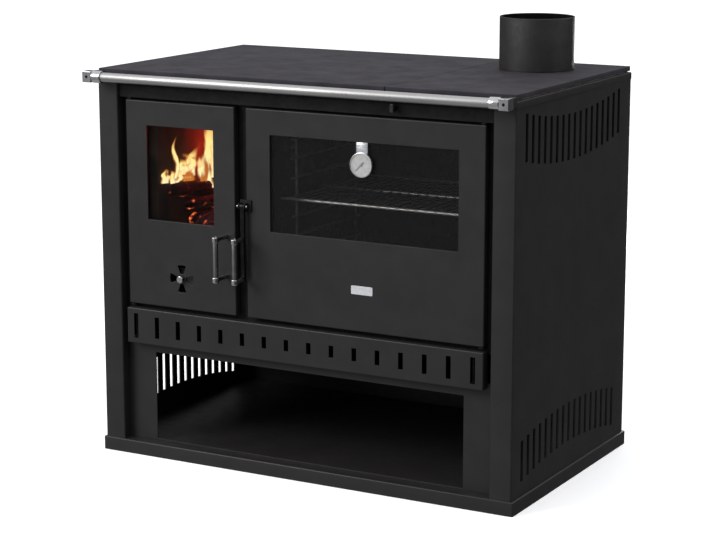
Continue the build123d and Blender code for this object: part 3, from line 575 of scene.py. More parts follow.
# %% Ceramic fire glass and smoked oven glass
fire_glass = new_finish(
    "ceramic_fire_glass",
    {"Alpha": 0.1, "IOR": 1.5},
    ("#0a0605", "#160d09"),
    tint=(60, 4),
    rough=(0.03, 0.08, 50, 4),
    bumps=[(0.01, 40, 1)],
)
smoked_glass = new_finish(
    "smoked_oven_glass",
    {"Alpha": 0.24, "IOR": 1.5},
    ("#1c1c1d", "#232324"),
    tint=(80,),
    rough=(0.02, 0.06, 60, 4),
    bumps=[(0.01, 45, 1)],
)

# %% [markdown]
# Firebrick is vermiculite board: pressed flakes of two to four millimetres, pale tan when new and black
# with soot where the fire touches it. The soot follows the height, so it is darkest down at the embers.


# %% Sooted firebrick
def cells(tree, size):
    """Distance from the nearest of many spots that lie a size in millimetres apart."""
    inputs = {"Vector": object_place(tree), "Scale": 1 / (size * MM)}
    return add(tree, "ShaderNodeTexVoronoi", inputs).outputs["Distance"]


def clean_share(tree):
    """How clean the brick is: 0 at the embers and up to 0.7 at the top, with a cloudy edge."""
    height = add(tree, "ShaderNodeSeparateXYZ", {0: object_place(tree)}).outputs["Z"]
    rise = ramp(tree, height, 0.46, 0.74, 0.0, 0.7)
    return calc(tree, "ADD", rise, cloudy(tree, 40, 6, low=-0.35, high=0.35), use_clamp=True)


firebrick = new_finish(
    "sooted_firebrick",
    {"IOR": 1.4},
    ("#120d0b", "#4c3828"),
    tint=clean_share,
    rough=(0.8, 0.95, 10, 3),
    bumps=[(0.3, lambda tree: cells(tree, 3)), (0.3, 20)],
)

# %% [markdown]
# The seals are knitted glass-fibre rope. The strands are modelled, so the finish only adds the fuzz of
# fine fibres and the grey that soot gives it.

# %% Glass-fibre rope
glass_rope = new_finish(
    "glass_fibre_rope",
    {"Sheen Weight": 0.4, "Sheen Roughness": 0.5},
    ("#4a4846", "#a19c94"),
    tint=(25, 5),
    rough=(0.8, 0.95, 5, 2),
    bumps=[(0.15, 0.7, 2, (1, 3, 1))],
)

# %% [markdown]
# The oven is lined with vitreous enamel: glass fused on steel, black with fine pale specks, smooth and
# glossy over a soft waviness. The specks of half a millimetre are drawn at two, or they would not show.

# %% Speckled oven enamel
oven_enamel = new_finish(
    "speckled_enamel",
    {"IOR": 1.52, "Specular IOR Level": 0.3},
    ("#0c0c0d", "#3a3c40"),
    tint=lambda tree: ramp(tree, cells(tree, 6), 0.1, 0.22, 1.0, 0.0),
    rough=(0.22, 0.36, 30, 4),
    bumps=[(0.04, 30, 1)],
)

# %% [markdown]
# The thermometer's face is screen-printed on brushed aluminium, and its needle is painted. The small
# damper pull is phenolic: a black moulded resin with a soft polish. The bare badge is anodised: its thin
# milky film scatters light, so the plate stays bright where plain metal would mirror the dark room.

# %% Printed dial, needle paint, phenolic, anodised and brushed aluminium
dial_face = new_finish(
    "printed_dial_face",
    {"Metallic": 0.15},
    ("#b4b3b1", "#c6c5c3"),
    tint=(8, 4),
    rough=(0.3, 0.45, 5, 3),
    bumps=[(0.01, 0.6, 2, (8, 1, 1))],
)
dial_print = new_finish(
    "dial_print",
    {"IOR": 1.45},
    ("#2a2a2b", "#38383a"),
    tint=(3, 2),
    rough=(0.4, 0.55, 3, 2),
    bumps=[(0.01, 0.5, 2)],
)
needle_paint = new_finish(
    "needle_paint",
    {"IOR": 1.45},
    ("#7d7b79", "#8f8d8a"),
    tint=(3, 2),
    rough=(0.3, 0.4, 3, 2),
    bumps=[(0.01, 0.5, 2)],
)
phenolic = new_finish(
    "black_phenolic",
    {"IOR": 1.55},
    ("#0d0c0c", "#1c1918"),
    tint=(5, 5),
    rough=(0.25, 0.4, 6, 3),
    bumps=[(0.02, 1.0, 2)],
)
anodised = new_finish(
    "anodised_aluminium",
    {"Metallic": 0.5},
    ("#d2d2d4", "#e2e2e4"),
    tint=(6, 3),
    rough=(0.38, 0.5, 4, 3, (10, 1, 1)),
    bumps=[(0.006, 0.5, 2, (20, 1, 1))],
)
brushed_aluminium = new_finish(
    "brushed_aluminium",
    {"Metallic": 1.0},
    ("#b9bbbd", "#d4d6d8"),
    tint=(6, 3),
    rough=(0.22, 0.36, 4, 3, (10, 1, 1)),
    bumps=[(0.012, 0.5, 2, (20, 1, 1))],
)

# %% [markdown]
# # Fire
# A lit stove is judged by its fire. Charred wood is black and scaly, and glows only where air reaches it:
# in patches of three or four centimetres, broken up by a grain of a centimetre. The glow is an emission
# that follows both, dull red where it is weak and pale orange where it is strong. The scales are a bump
# of twelve millimetres.


# %% Glowing char
def scales(tree):
    """Cracks between scales of twelve millimetres, bent by noise so that no edge is straight."""
    place = object_place(tree)
    bent = add(tree, "ShaderNodeTexNoise", {"Vector": place, "Scale": 1 / (20 * MM), "Detail": 2.0})
    pushed = vector_calc(tree, "SCALE", {0: bent.outputs["Color"], "Scale": 12 * MM})
    moved = vector_calc(tree, "ADD", {0: place, 1: pushed})
    inputs = {"Vector": moved, "Scale": 1 / (12 * MM)}
    return add(tree, "ShaderNodeTexVoronoi", inputs, feature="DISTANCE_TO_EDGE").outputs["Distance"]


# The base colours are dark red instead of the black of char: painted red firelight on the wood and embers,
# under their real glow.
char = new_finish(
    "glowing_char",
    {"IOR": 1.4, "Specular IOR Level": 0.2},
    ("#120508", "#3a1218"),
    tint=(16, 5),
    rough=(0.8, 0.95, 8, 3),
    bumps=[(1.2, scales), (0.3, 2)],
)

# %% Glow of the char
tree = char.node_tree
patches = cloudy(tree, 32, 2, low=-1.2, high=0.55)
hot = calc(tree, "ADD", patches, cloudy(tree, 8, 5, low=-0.35, high=0.35), use_clamp=True)
glow = tree.nodes["Principled BSDF"].inputs
tree.links.new(blend(tree, hot, "#a01208", "#ff8a48"), glow["Emission Color"])
tree.links.new(calc(tree, "MULTIPLY", hot, 3.0), glow["Emission Strength"])

# %% [markdown]
# A flame is thin light with no surface, so it is a bent sheet that only glows. The sheet carries a UV
# map: u runs across and v runs up. Light fades to nothing at both sides and at the tip, and turns from
# white at the root through yellow to orange. The fading is a mix with a transparent shader.


# %% Flame light
def flame_light(name, colours, strength):
    """Glowing, see-through finish of a flame whose root, middle and tip have the given colours."""
    material = bpy.data.materials.new(name)
    material.use_nodes = True
    tree = material.node_tree
    tree.nodes.remove(tree.nodes["Principled BSDF"])
    uv = add(tree, "ShaderNodeTexCoord").outputs["UV"]
    across, up, _ = add(tree, "ShaderNodeSeparateXYZ", {0: uv}).outputs
    side = calc(tree, "ADD", across, cloudy(tree, 16, 3, (1, 1, 3), low=-0.22, high=0.22))
    away = calc(tree, "ABSOLUTE", calc(tree, "SUBTRACT", side, 0.5))
    body = ramp(tree, away, 0.12, 0.46, 1.0, 0.0, interpolation_type="SMOOTHSTEP")
    top = ramp(tree, up, 0.6, 1.0, 1.0, 0.0, interpolation_type="SMOOTHSTEP")
    cover = calc(tree, "MULTIPLY", body, top)
    root, middle, tip = colours
    colour = blend(tree, cover, tip, blend(tree, up, root, middle))
    light = out(tree, "ShaderNodeEmission", {"Color": colour, "Strength": strength})
    clear = out(tree, "ShaderNodeBsdfTransparent")
    fade = out(tree, "ShaderNodeMixShader", {0: cover, 1: clear, 2: light})
    tree.links.new(fade, tree.nodes["Material Output"].inputs["Surface"])
    return material


yellow_flame = flame_light("yellow_flame", ("#fff2b8", "#ffe06c", "#e8641a"), 1.3)
orange_flame = flame_light("orange_flame", ("#ff9a3c", "#e2541a", "#7a1006"), 0.7)
print("materials in the file:", len(bpy.data.materials))

# %% [markdown]
# # Fitting the pieces
# A finished piece gets one material, rides on the body of the CAD node that it stands for, and hides that
# node.


# %% Fitting a piece
def fit(name, shape, finish, *nodes, body=None, slot=None):
    """Makes an object of a mesh, finishes it and ties it to the frame in place of its CAD nodes."""
    mesh = as_mesh(shape, name) if isinstance(shape, bmesh.types.BMesh) else shape
    piece = new_object(name, mesh)
    if finish:
        mesh.materials.clear()
        mesh.materials.append(finish)
    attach(piece, body or BODY_OF[nodes[0]])
    if nodes:
        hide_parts(*nodes)


def fit_flat(name, node, finish, corner=(), edge=(), holes=()):
    """Fits a flat sheet that faces the front; corner and edge are its radii and their steps."""
    x, y, z = spans(node)
    shape = new_sheet(facing_front, rectangle(x, z, *corner), flat_profile(*y, *edge), holes)
    fit(name, shape, finish, node)


# %% [markdown]
# Rows of slots, rack rods and dial ticks repeat one shape by a rule, which is what Geometry Nodes are
# for. Each tree below has named inputs. A modifier applies it with this piece's sizes, and the result
# becomes a plain mesh.


# %% Building a Geometry Nodes tree
def new_tree(name, **inputs):
    """An empty geometry tree with a mesh input and, for each kind of socket, the inputs named."""
    tree = bpy.data.node_groups.new(name, "GeometryNodeTree")
    for way in ("INPUT", "OUTPUT"):
        tree.interface.new_socket("Geometry", in_out=way, socket_type="NodeSocketGeometry")
    for kind, names in inputs.items():
        for key in names.split(", "):
            tree.interface.new_socket(key, in_out="INPUT", socket_type=f"NodeSocket{kind}")
    return tree, add(tree, "NodeGroupInput").outputs


def numbered_row(tree, count):
    """A line of points with each point's number, the last one's number and the share of the way along."""
    row = out(tree, "GeometryNodeMeshLine", {"Count": count, "Offset": (1, 0, 0)})
    index = out(tree, "GeometryNodeInputIndex")
    last = calc(tree, "SUBTRACT", count, 1.0)
    return row, index, last, calc(tree, "DIVIDE", index, last)


def cut_from(tree, mesh, cutter):
    """Takes a cutter out of a mesh."""
    meshes = {"Mesh 1": mesh, "Mesh 2": cutter}
    return out(tree, "GeometryNodeMeshBoolean", meshes, operation="DIFFERENCE", solver="EXACT")


def copies(tree, points, shape, **more):
    """Stands a copy of a shape on each point."""
    return out(tree, "GeometryNodeInstanceOnPoints", {"Points": points, "Instance": shape, **more})


def made_real(tree, geometry, given):
    """Makes copies into real faces and gives them the tree's finish."""
    whole = out(tree, "GeometryNodeRealizeInstances", {0: geometry})
    return out(tree, "GeometryNodeSetMaterial", {"Geometry": whole, "Material": given["Finish"]})


def finished(tree, geometry, given):
    """Hands a tree's result over to its output, with its finish, and returns the tree."""
    add(tree, "NodeGroupOutput", {0: made_real(tree, geometry, given)})
    return tree


# %% Running a Geometry Nodes tree
def grow(name, tree, sizes, others, mesh=None):
    """Runs a geometry tree with its sizes in millimetres and its other inputs; returns a plain mesh."""
    holder = new_object(name, mesh or bpy.data.meshes.new(name))
    modifier = holder.modifiers.new("nodes", "NODES")
    modifier.node_group = tree
    items = [item for item in tree.interface.items_tree if item.in_out == "INPUT"]
    identifiers = {item.name: item.identifier for item in items}
    for key, size in sizes.items():
        modifier[identifiers[key]] = [c * MM for c in size] if isinstance(size, tuple) else size * MM
    for key, value in others.items():
        modifier[identifiers[key]] = value
    evaluated = holder.evaluated_get(bpy.context.evaluated_depsgraph_get())
    made = bpy.data.meshes.new_from_object(evaluated)
    holder.modifiers.remove(modifier)
    bpy.data.objects.remove(holder)
    return made


# %% [markdown]
# ## Slots in sheet
# The side vents and the drawer's slots are rows of laser-cut slots. Along a row their height or their
# place follows a parabola, so the row reads as a bow. The tree stands a block for each slot on a line of
# points, gives each the height and place of its spot, and cuts them all out of the sheet at once.

# %% Tree: a bowed row of slots
tree, given = new_tree(
    "slot_row",
    Int="Count",
    Float="Pitch, Width, End height, Middle height, Bow, Turn",
    Vector="Centre",
    Material="Finish",
)
row, _, last, share = numbered_row(tree, given["Count"])
spot = calc(tree, "MULTIPLY_ADD", share, 2.0, -1.0)
square = calc(tree, "MULTIPLY", spot, spot)
lift = calc(tree, "MULTIPLY", calc(tree, "SUBTRACT", 1.0, square), given["Bow"])
reach = calc(tree, "MULTIPLY", calc(tree, "MULTIPLY", last, given["Pitch"]), 0.5)
place = xyz(tree, X=calc(tree, "MULTIPLY", spot, reach), Z=lift)
spread = out(tree, "GeometryNodeSetPosition", {"Geometry": row, "Position": place})
height = out(tree, "ShaderNodeMix", {0: square, 2: given["Middle height"], 3: given["End height"]})
size = xyz(tree, X=given["Width"], Y=20 * MM, Z=height)
cutter = out(tree, "GeometryNodeMeshCube", {"Size": (1, 1, 1)})
solid = out(tree, "GeometryNodeRealizeInstances", {0: copies(tree, spread, cutter, Scale=size)})
moved = {"Geometry": solid, "Translation": given["Centre"], "Rotation": xyz(tree, Z=given["Turn"])}
cut = cut_from(tree, given["Geometry"], out(tree, "GeometryNodeTransform", moved))
slot_row = finished(tree, cut, given)


def cut_slots(mesh, count, width, heights, pitch, centre, bow=0.0, turn=0.0):
    """Cuts a row of slots; heights are those of the slots at the ends and in the middle."""
    sizes = {"Pitch": pitch, "Centre": centre, "Width": width, "Bow": bow}
    sizes.update(zip(("End height", "Middle height"), heights))
    cut = grow("slots", slot_row, sizes, {"Count": count, "Turn": turn, "Finish": satin_coat}, mesh)
    cut.set_sharp_from_angle(angle=CREASE)
    return cut


# %% [markdown]
# ## Plinth, sides and carcass
# The plinth is a shallow tray turned upside down. Each side is one sheet, folded round the front corner
# into the stile and once more behind the doors. Its plan is a closed loop, so it is drawn from above and
# carried up.

# %% Plinth and side panels
x, y, z = spans("plinth")
tray = new_sheet(facing_up, rectangle(x, y, 3), folded_profile(z[1], z[0], 3, 4))
fit("plinth_tray", tray, satin_coat, "plinth")
print("plinth", [[round(v, 1) for v in span] for span in (x, y, z)])

STILE_W, FLANGE_W, FOLD_R = 50, 20, 3.5
VENTS, VENT_W, VENT_EDGE_FRONT, VENT_EDGE_BACK, VENT_BOW = 17, 12, 49.2, 69.2, 24
VENT_ROWS = ((712, 808, -VENT_BOW), (60, 146, VENT_BOW))


def side_plan(outer, front, back, side):
    """Plan of a folded side panel: return, stile, side and back flange, as one closed loop."""
    inner_y = spans("front_plate")[1][0]
    stile_x, flange_x = outer - STILE_W, outer - FLANGE_W
    corners = (
        ((stile_x + FOLD_R, front + FOLD_R), 180),
        ((outer - FOLD_R, front + FOLD_R), 270),
        ((outer - FOLD_R, back - FOLD_R), 0),
    )

    def folds(radius):
        return [p for centre, start in corners for p in arc(centre, radius, start, 90, 5)]

    outside = [(stile_x, inner_y)] + folds(FOLD_R) + [(flange_x, back)]
    inside = [(stile_x + SHEET, inner_y)] + folds(FOLD_R - SHEET) + [(flange_x, back - SHEET)]
    return [(side * u, v) for u, v in outside + inside[::-1]]


for side, node in ((-1, "side_panel_left"), (1, "side_panel_right")):
    x, y, z = spans(node)
    outer = max(-x[0], x[1])
    plan = side_plan(outer, *y, side)
    panel = as_mesh(new_sheet(facing_up, lambda inset: plan, [(0, z[0]), (0, z[1])]), node)
    panel.materials.append(satin_coat)
    first, last = y[0] + VENT_EDGE_FRONT, y[1] - VENT_EDGE_BACK
    pitch = (last - first) / (VENTS - 1)
    for bottom, top, bow in VENT_ROWS:
        centre = (side * outer, (first + last) / 2, (bottom + top) / 2)
        panel = cut_slots(panel, VENTS, VENT_W, [top - bottom] * 2, pitch, centre, bow, math.pi / 2)
    fit(f"{node}_sheet", panel, satin_coat, node)
    print(node, len(panel.polygons), "faces with", 2 * VENTS, "vents, pitch", round(pitch, 2))

# %% [markdown]
# The back is a plain sheet, held by a row of round-headed screws. The screws are the same few dozen faces
# each, placed by a tree that walks along a line at even steps. Nobody sees them in the picture, so they
# are kept plain.

# %% Tree: screws along a line
tree, given = new_tree(
    "screw_line", Float="Step, Radius, Height", Vector="Rotation", Material="Finish"
)
path = out(tree, "GeometryNodeMeshToCurve", {"Mesh": given["Geometry"]})
steps = {"Curve": path, "Length": given["Step"]}
points = out(tree, "GeometryNodeCurveToPoints", steps, mode="LENGTH")
dome = {"Segments": 20, "Rings": 12, "Radius": given["Radius"]}
flat = xyz(tree, X=1.0, Y=1.0, Z=calc(tree, "DIVIDE", given["Height"], given["Radius"]))
pressed = {"Geometry": out(tree, "GeometryNodeMeshUVSphere", dome), "Scale": flat}
head = out(tree, "GeometryNodeTransform", pressed)
socket = {"Vertices": 6, "Radius": 1.2 * MM, "Depth": 10 * MM}
drilled = cut_from(tree, head, out(tree, "GeometryNodeMeshCylinder", socket))
heads = copies(tree, points, drilled, Rotation=given["Rotation"])
screw_line = finished(tree, heads, given)


def line_mesh(points, closed=True):
    """A mesh of edges only, along points in millimetres."""
    count = len(points)
    edges = [(i, (i + 1) % count) for i in range(count if closed else count - 1)]
    mesh = bpy.data.meshes.new("line")
    mesh.from_pydata([[c * MM for c in point] for point in points], edges, [])
    return mesh


# %% Back panel and its screws
SCREW_IN, SCREW_STEP, SCREW_END = 11, 120, 36
SCREW_HEAD = {"Step": SCREW_STEP, "Radius": 4, "Height": 2.2}
fit_flat("back_sheet", "back_panel", satin_coat, (1,), (0.3,))
low_z, high_z = spans("back_panel")[2]
outer, flange_y = spans("side_panel_right")[0][1], spans("side_panel_left")[1][1]
to_back = {"Rotation": (-math.pi / 2, 0, 0), "Finish": rolled_steel}
for side, name in ((-1, "left"), (1, "right")):
    ends = [(side * (outer - SCREW_IN), flange_y, end) for end in (low_z + SCREW_END, high_z - SCREW_END)]
    heads = grow("screws", screw_line, SCREW_HEAD, to_back, line_mesh(ends, closed=False))
    fit(f"back_screws_{name}", heads, None, body="stove", slot="plain_steel")
    print("back screws", len(heads.polygons), "faces")

# %% [markdown]
# Behind the doors stands the carcass plate, with one mouth for the firebox, one for the oven, two small
# ones for the catches and a hole for the damper's rod. The frame round the wood store is the same sheet
# further down. Only their edges and a few dark gaps are seen.

# %% Carcass plate, store frame and fascia
FIRE_MOUTH, OVEN_MOUTH = ((-397.5, -183.5), (370, 756)), ((-95.5, 397.5), (370, 756))
CATCHES = (((-166.5, -155.5), (550, 572)), ((-123.5, -112.5), (550, 572)))
STORE_MOUTH = ((-375, 375), (34, 230))
ROD_HOLE = circle((225.5, 808), 4.3)
holes = [rectangle(*mouth, 2) for mouth in (FIRE_MOUTH, OVEN_MOUTH, *CATCHES)] + [ROD_HOLE]
fit_flat("carcass_plate", "front_plate", matt_paint, holes=holes)
fit_flat("store_frame_sheet", "store_frame", satin_coat, (), (0.6,), [rectangle(*STORE_MOUTH, 2)])

x, (front, back), (lower, upper) = spans("fascia")
FASCIA_T = 2
inner = [(front + FASCIA_T, lower + FASCIA_T), (front + FASCIA_T, upper - FASCIA_T)]
lower_lip = [(front, lower), (back, lower), (back, lower + FASCIA_T)]
upper_lip = [(back, upper - FASCIA_T), (back, upper), (front, upper)]
channel = lower_lip + inner + upper_lip
fascia = new_sheet(facing_side, lambda inset: channel, [(0, x[0]), (0, x[1])])
# The fascia takes the darker matt paint instead of the satin body coat: painted shade of its recess under
# the cooking top.
fit("fascia_channel", fascia, matt_paint, "fascia")
print("carcass, store frame and fascia fitted")

# %% [markdown]
# ## Cooking top
# A cast frame carries two ground plates. Cast edges are never sharp, so the frame's upper edge is rounded
# by two millimetres and the plates' by one and a half. Those roundings draw the two light lines under the
# cooking top.


# %% Hob frame and cooking plates
def cast_profile(bottom, top, upper_edge, lower_edge):
    """Both edges of a casting, the upper one rounder than the lower one."""
    return rounded(upper_edge, top, -1, 4) + rounded(lower_edge, bottom, 1, 2)[::-1]


BORDER, BORDER_BACK = 60, 50
x, y, z = spans("hob_frame")
opening = rectangle((x[0] + BORDER, x[1] - BORDER), (y[0] + BORDER, y[1] - BORDER_BACK), 6)
frame_mesh = new_sheet(facing_up, rectangle(x, y, 5, 6), cast_profile(*z, 2.2, 1.0), [opening])
fit("hob_frame_casting", frame_mesh, cast_iron, "hob_frame")

NECK_R, COLLAR_R, COLLAR_WALL = 79, 80, 3
flange_x, flange_y, (flange_z, rim_z) = spans("flue_collar")
collar_x, collar_y = sum(flange_x) / 2, sum(flange_y) / 2
FLUE_HOLE = circle((collar_x, collar_y), NECK_R, 96)
for node, holes in (("hob_plate_left", []), ("hob_plate_right", [FLUE_HOLE])):
    x, y, z = spans(node)
    bore = flat_profile(z[1], z[0], 0.6)
    plate = new_sheet(facing_up, rectangle(x, y, 3, 5), cast_profile(*z, 1.4, 0.8), holes, bore)
    fit(f"{node}_ground", plate, ground_iron, node)

# %% [markdown]
# The flue collar is a turned casting. Its section is drawn once and turned about the flue's axis: the
# flange under the plate, the neck, the long spigot with its rounded rim, and the inner wall all in one
# closed loop. Its inner faces are sooted.

# %% Flue collar
plate_z, FLANGE_T, SHOULDER = spans("hob_plate_right")[2][1], 4, 2
inner_r, flange_r, rim_r = COLLAR_R - COLLAR_WALL, (flange_x[1] - flange_x[0]) / 2, COLLAR_WALL / 2
section = [(inner_r, flange_z), (flange_r, flange_z), (flange_r, flange_z + FLANGE_T)]
section += [(NECK_R, flange_z + FLANGE_T), (NECK_R, plate_z + SHOULDER)]
section += [(COLLAR_R - 0.4, plate_z + SHOULDER), (COLLAR_R, plate_z + SHOULDER + 0.4)]
section += arc((inner_r + rim_r, rim_z - rim_r), rim_r, 0, 180, 6)
collar = as_mesh(new_turned((collar_x, collar_y, 0), "Z", section, 128), "flue_collar")
for finish in (cast_iron, flue_soot):
    collar.materials.append(finish)
for face in collar.polygons:
    from_axis = math.hypot(face.center.x / MM - collar_x, face.center.y / MM - collar_y)
    face.material_index = int(from_axis < inner_r + 0.1)
fit("flue_collar_casting", collar, None, "flue_collar")
print("collar centre", round(collar_x, 1), round(collar_y, 1), "rim", round(rim_z, 1))

# %% [markdown]
# ## Rail
# The rail is a satin chromed tube between two bright chromed blocks, each with a small set screw in
# front, and a sleeve that hides where the tube ends. Turned profiles give the tube and the sleeves, and
# bevelled blocks the arms. The end blocks have a blind hole for the screw, so they are built from rings.

# %% Rail tube and sleeves
x, y, z = spans("rail_bar")
rail_y, rail_z, rail_r = sum(y) / 2, sum(z) / 2, (z[1] - z[0]) / 2
mesh = new_turned((x[0], rail_y, rail_z), "X", turned_bar(rail_r, x[1] - x[0], 0.5), 48)
fit("rail_tube", mesh, satin_chrome, "rail_bar")

x, y, z = spans("rail_sleeves")
SLEEVE_L = 22
profile = [(rail_r, 0)] + turned_side((z[1] - z[0]) / 2, SLEEVE_L, 1.2, 4) + [(rail_r, SLEEVE_L)]
mesh = bmesh.new()
for start in (x[0], x[1] - SLEEVE_L):
    lathe(mesh, (start, rail_y, rail_z), "X", profile, 56)
fit("rail_sleeve_pair", mesh, chrome, "rail_sleeves")
print("rail at", round(rail_y, 1), round(rail_z, 1), "radius", rail_r)

# %% Rail blocks, set screws and arms
x, y, z = spans("rail_blocks")
BLOCK_W, SCREW_R, SCREW_DEPTH, HEX_R = 22, 3, 6, 1.4
screw_at = (x[0] + BLOCK_W / 2, x[1] - BLOCK_W / 2)
bore_steps = [(-0.3, y[0]), (0, y[0] + 0.4), (0, y[0] + SCREW_DEPTH)]
mesh = bmesh.new()
for centre in screw_at:
    outline = rectangle((centre - BLOCK_W / 2, centre + BLOCK_W / 2), z, 1.6, 5)
    sides = add_rings(mesh, facing_front, outline, flat_profile(*y, 1.5, 4))
    bore = add_rings(mesh, facing_front, circle((centre, rail_z), SCREW_R, 28), bore_steps)
    fill(mesh, (sides[0], bore[0]))
    for rings in (sides, bore):
        mesh.faces.new(rings[-1])
fit("rail_block_pair", mesh, chrome, "rail_blocks")

_, y, _ = spans("rail_screws")
depth = y[1] - y[0]
socket = [(0, 1.5), (HEX_R, 1.5), (HEX_R, 0)]
shank = [(SCREW_R - 0.4, 0), (SCREW_R - 0.1, 0.4), (SCREW_R - 0.1, depth), (0, depth)]
mesh = bmesh.new()
for centre in screw_at:
    lathe(mesh, (centre, y[0], rail_z), "Y", socket + shank, 24)
fit("rail_set_screws", mesh, black_oxide, "rail_screws")

x, y, z = spans("rail_arms")
ARM_W = 16
mesh = bmesh.new()
for start in (x[0], x[1] - ARM_W):
    block(mesh, (start, y[0], z[0]), (start + ARM_W, y[1], z[1]), 1.2, 3)
fit("rail_arm_pair", mesh, satin_coat, "rail_arms")
print("set screws at", screw_at)

# %% [markdown]
# ## Doors
# A door skin is a sheet folded back all round, with the window cut out. The fold is a 2.4 mm radius,
# which shows as the thin light frame round each door. The firebox door also has the four wedges of the
# air control, laid out as arcs round one centre. Behind it lie the glass, its retainer, the inner plate
# and the rope.


# %% Door skins
def wedge(centre, radii, width, turn):
    """One wedge hole between two radii, width degrees wide, at the angle turn."""

    def drawn(inset):
        inner, outer = radii[0] + inset, radii[1] - inset
        half = width / 2 - math.degrees(inset / ((inner + outer) / 2))
        return arc(centre, outer, turn - half, 2 * half, 10) + arc(centre, inner, turn + half, -2 * half, 6)

    return drawn


WINDOW_Z = (529, 733)
ROSETTE, WEDGE_RADII, WEDGE_WIDTH = (-290.5, 406), (11, 30), 40
wedges = [wedge(ROSETTE, WEDGE_RADII, WEDGE_WIDTH, 90 * quarter) for quarter in range(4)]
SPINDLE_HOLE = circle(ROSETTE, 3.05, 24)
DOORS = (("firebox", 53, fire_glass, wedges + [SPINDLE_HOLE]), ("oven", 58.5, smoked_glass, []))
for door, border, glass, air_holes in DOORS:
    x, y, z = spans(f"{door}_door_panel")
    window_x = (x[0] + border, x[1] - border)
    holes = [rectangle(window_x, WINDOW_Z, 2, 4)] + air_holes
    hole_profile = flat_profile(y[0], y[0] + SHEET, 0.7, 3)
    skin = new_sheet(facing_front, rectangle(x, z, 2.5, 5), folded_profile(*y), holes, hole_profile)
    fit(f"{door}_door_skin", skin, satin_coat, f"{door}_door_panel")
    fit_flat(f"{door}_door_pane", f"{door}_door_glass", glass, (3, 4), (0.5,))
    print(door, "window", [round(v, 1) for v in (*window_x, *WINDOW_Z)])

# %% [markdown]
# The seal behind each door is a knitted rope pressed into a channel. It is made by Geometry Nodes:
# strands wind round a closed path, each a copy of it that is shifted round by its own phase, and each is
# given its thickness.

# %% Tree: a rope of twisted strands
tree, given = new_tree(
    "twisted_rope", Int="Strands", Float="Twist, Wide, Deep, Strand", Material="Finish"
)
path = out(tree, "GeometryNodeMeshToCurve", {"Mesh": given["Geometry"]})
even = out(tree, "GeometryNodeResampleCurve", {"Curve": path, "Length": 4 * MM}, mode="LENGTH")
doubled = {"Geometry": even, "Amount": given["Strands"]}
strands, number = add(tree, "GeometryNodeDuplicateElements", doubled, domain="SPLINE").outputs
phase = calc(tree, "DIVIDE", number, calc(tree, "MAXIMUM", given["Strands"], 1.0))
factor = add(tree, "GeometryNodeSplineParameter").outputs["Factor"]
turns = calc(tree, "MULTIPLY_ADD", factor, given["Twist"], phase)
angle = calc(tree, "MULTIPLY", turns, 2 * math.pi)
aside = calc(tree, "MULTIPLY", calc(tree, "SINE", angle), given["Wide"])
depth = calc(tree, "MULTIPLY", calc(tree, "COSINE", angle), given["Deep"])
tangent = out(tree, "GeometryNodeInputTangent")
across = vector_calc(tree, "CROSS_PRODUCT", {0: tangent, 1: (0, 1, 0)})
pushed = vector_calc(tree, "SCALE", {0: across, "Scale": aside})
offset = vector_calc(tree, "ADD", {0: pushed, 1: xyz(tree, Y=depth)})
wavy = out(tree, "GeometryNodeSetPosition", {"Geometry": strands, "Offset": offset})
section = {"Resolution": 8, "Radius": given["Strand"]}
section = out(tree, "GeometryNodeCurvePrimitiveCircle", section)
tubes = {"Curve": wavy, "Profile Curve": section, "Fill Caps": True}
tube = out(tree, "GeometryNodeCurveToMesh", tubes)
rope_tree = finished(tree, tube, given)


# %% Seal ropes
def smooth_all(mesh):
    """Shades every face of a mesh smooth."""
    for face in mesh.polygons:
        face.use_smooth = True


ROPE_W, STRANDS, TWIST_LENGTH = 12, 6, 26
STRAND_SIZES = {"Wide": 3.9, "Deep": 1.7, "Strand": 2.0}
for door in ("firebox", "oven"):
    x, y, z = spans(f"{door}_door_rope")
    middle = [(low + ROPE_W / 2, high - ROPE_W / 2) for low, high in (x, z)]
    path = line_mesh([(u, sum(y) / 2, v) for u, v in rectangle(*middle, 9, 6)(0)])
    length = 2 * (x[1] - x[0] + z[1] - z[0] - 2 * ROPE_W)
    others = {"Strands": STRANDS, "Twist": float(round(length / TWIST_LENGTH)), "Finish": glass_rope}
    rope = grow("rope", rope_tree, STRAND_SIZES, others, path)
    smooth_all(rope)
    fit(f"{door}_door_seal_rope", rope, None, f"{door}_door_rope")
    print(door, "rope", len(rope.polygons), "faces")

# %% [markdown]
# ## Handles
# Each handle is a black nickel bar between two chromed caps. The caps are turned with a rounded shoulder,
# and an arm runs back from the middle of each. On the oven door the arms sit on a flat lever that hangs
# from a pin.

# %% Grips
CAP_R, CAP_L, CAP_EDGE, ARM_R, ARM_SUNK = 8, 12, 2.0, 5, 2
DIMPLE_R, DIMPLE_DEPTH = 0.45 * CAP_R, 0.8
floor_r = DIMPLE_R - DIMPLE_DEPTH
near = [(0, DIMPLE_DEPTH), (floor_r, DIMPLE_DEPTH), (DIMPLE_R, 0)]
far = [(radius, CAP_L - along) for radius, along in near[::-1]]
cap_profile = near + turned_side(CAP_R, CAP_L, CAP_EDGE, 5) + far
for grip in ("firebox", "oven"):
    x, y, z = spans(f"{grip}_grip_bar")
    bar_x, bar_y = sum(x) / 2, sum(y) / 2
    bar = turned_bar((x[1] - x[0]) / 2, z[1] - z[0], 0.4)
    rod = new_turned((bar_x, bar_y, z[0]), "Z", bar, 40)
    fit(f"{grip}_grip_rod", rod, black_nickel, f"{grip}_grip_bar")
    _, y, z = spans(f"{grip}_grip_ends")
    arm_y = bar_y + CAP_R - ARM_SUNK
    arm = turned_bar(ARM_R, y[1] - arm_y, 0.4)
    mesh = bmesh.new()
    for start in (z[0], z[1] - CAP_L):
        lathe(mesh, (bar_x, bar_y, start), "Z", cap_profile, 40)
        lathe(mesh, (bar_x, arm_y, start + CAP_L / 2), "Y", arm, 32)
    fit(f"{grip}_grip_caps", mesh, chrome, f"{grip}_grip_ends")

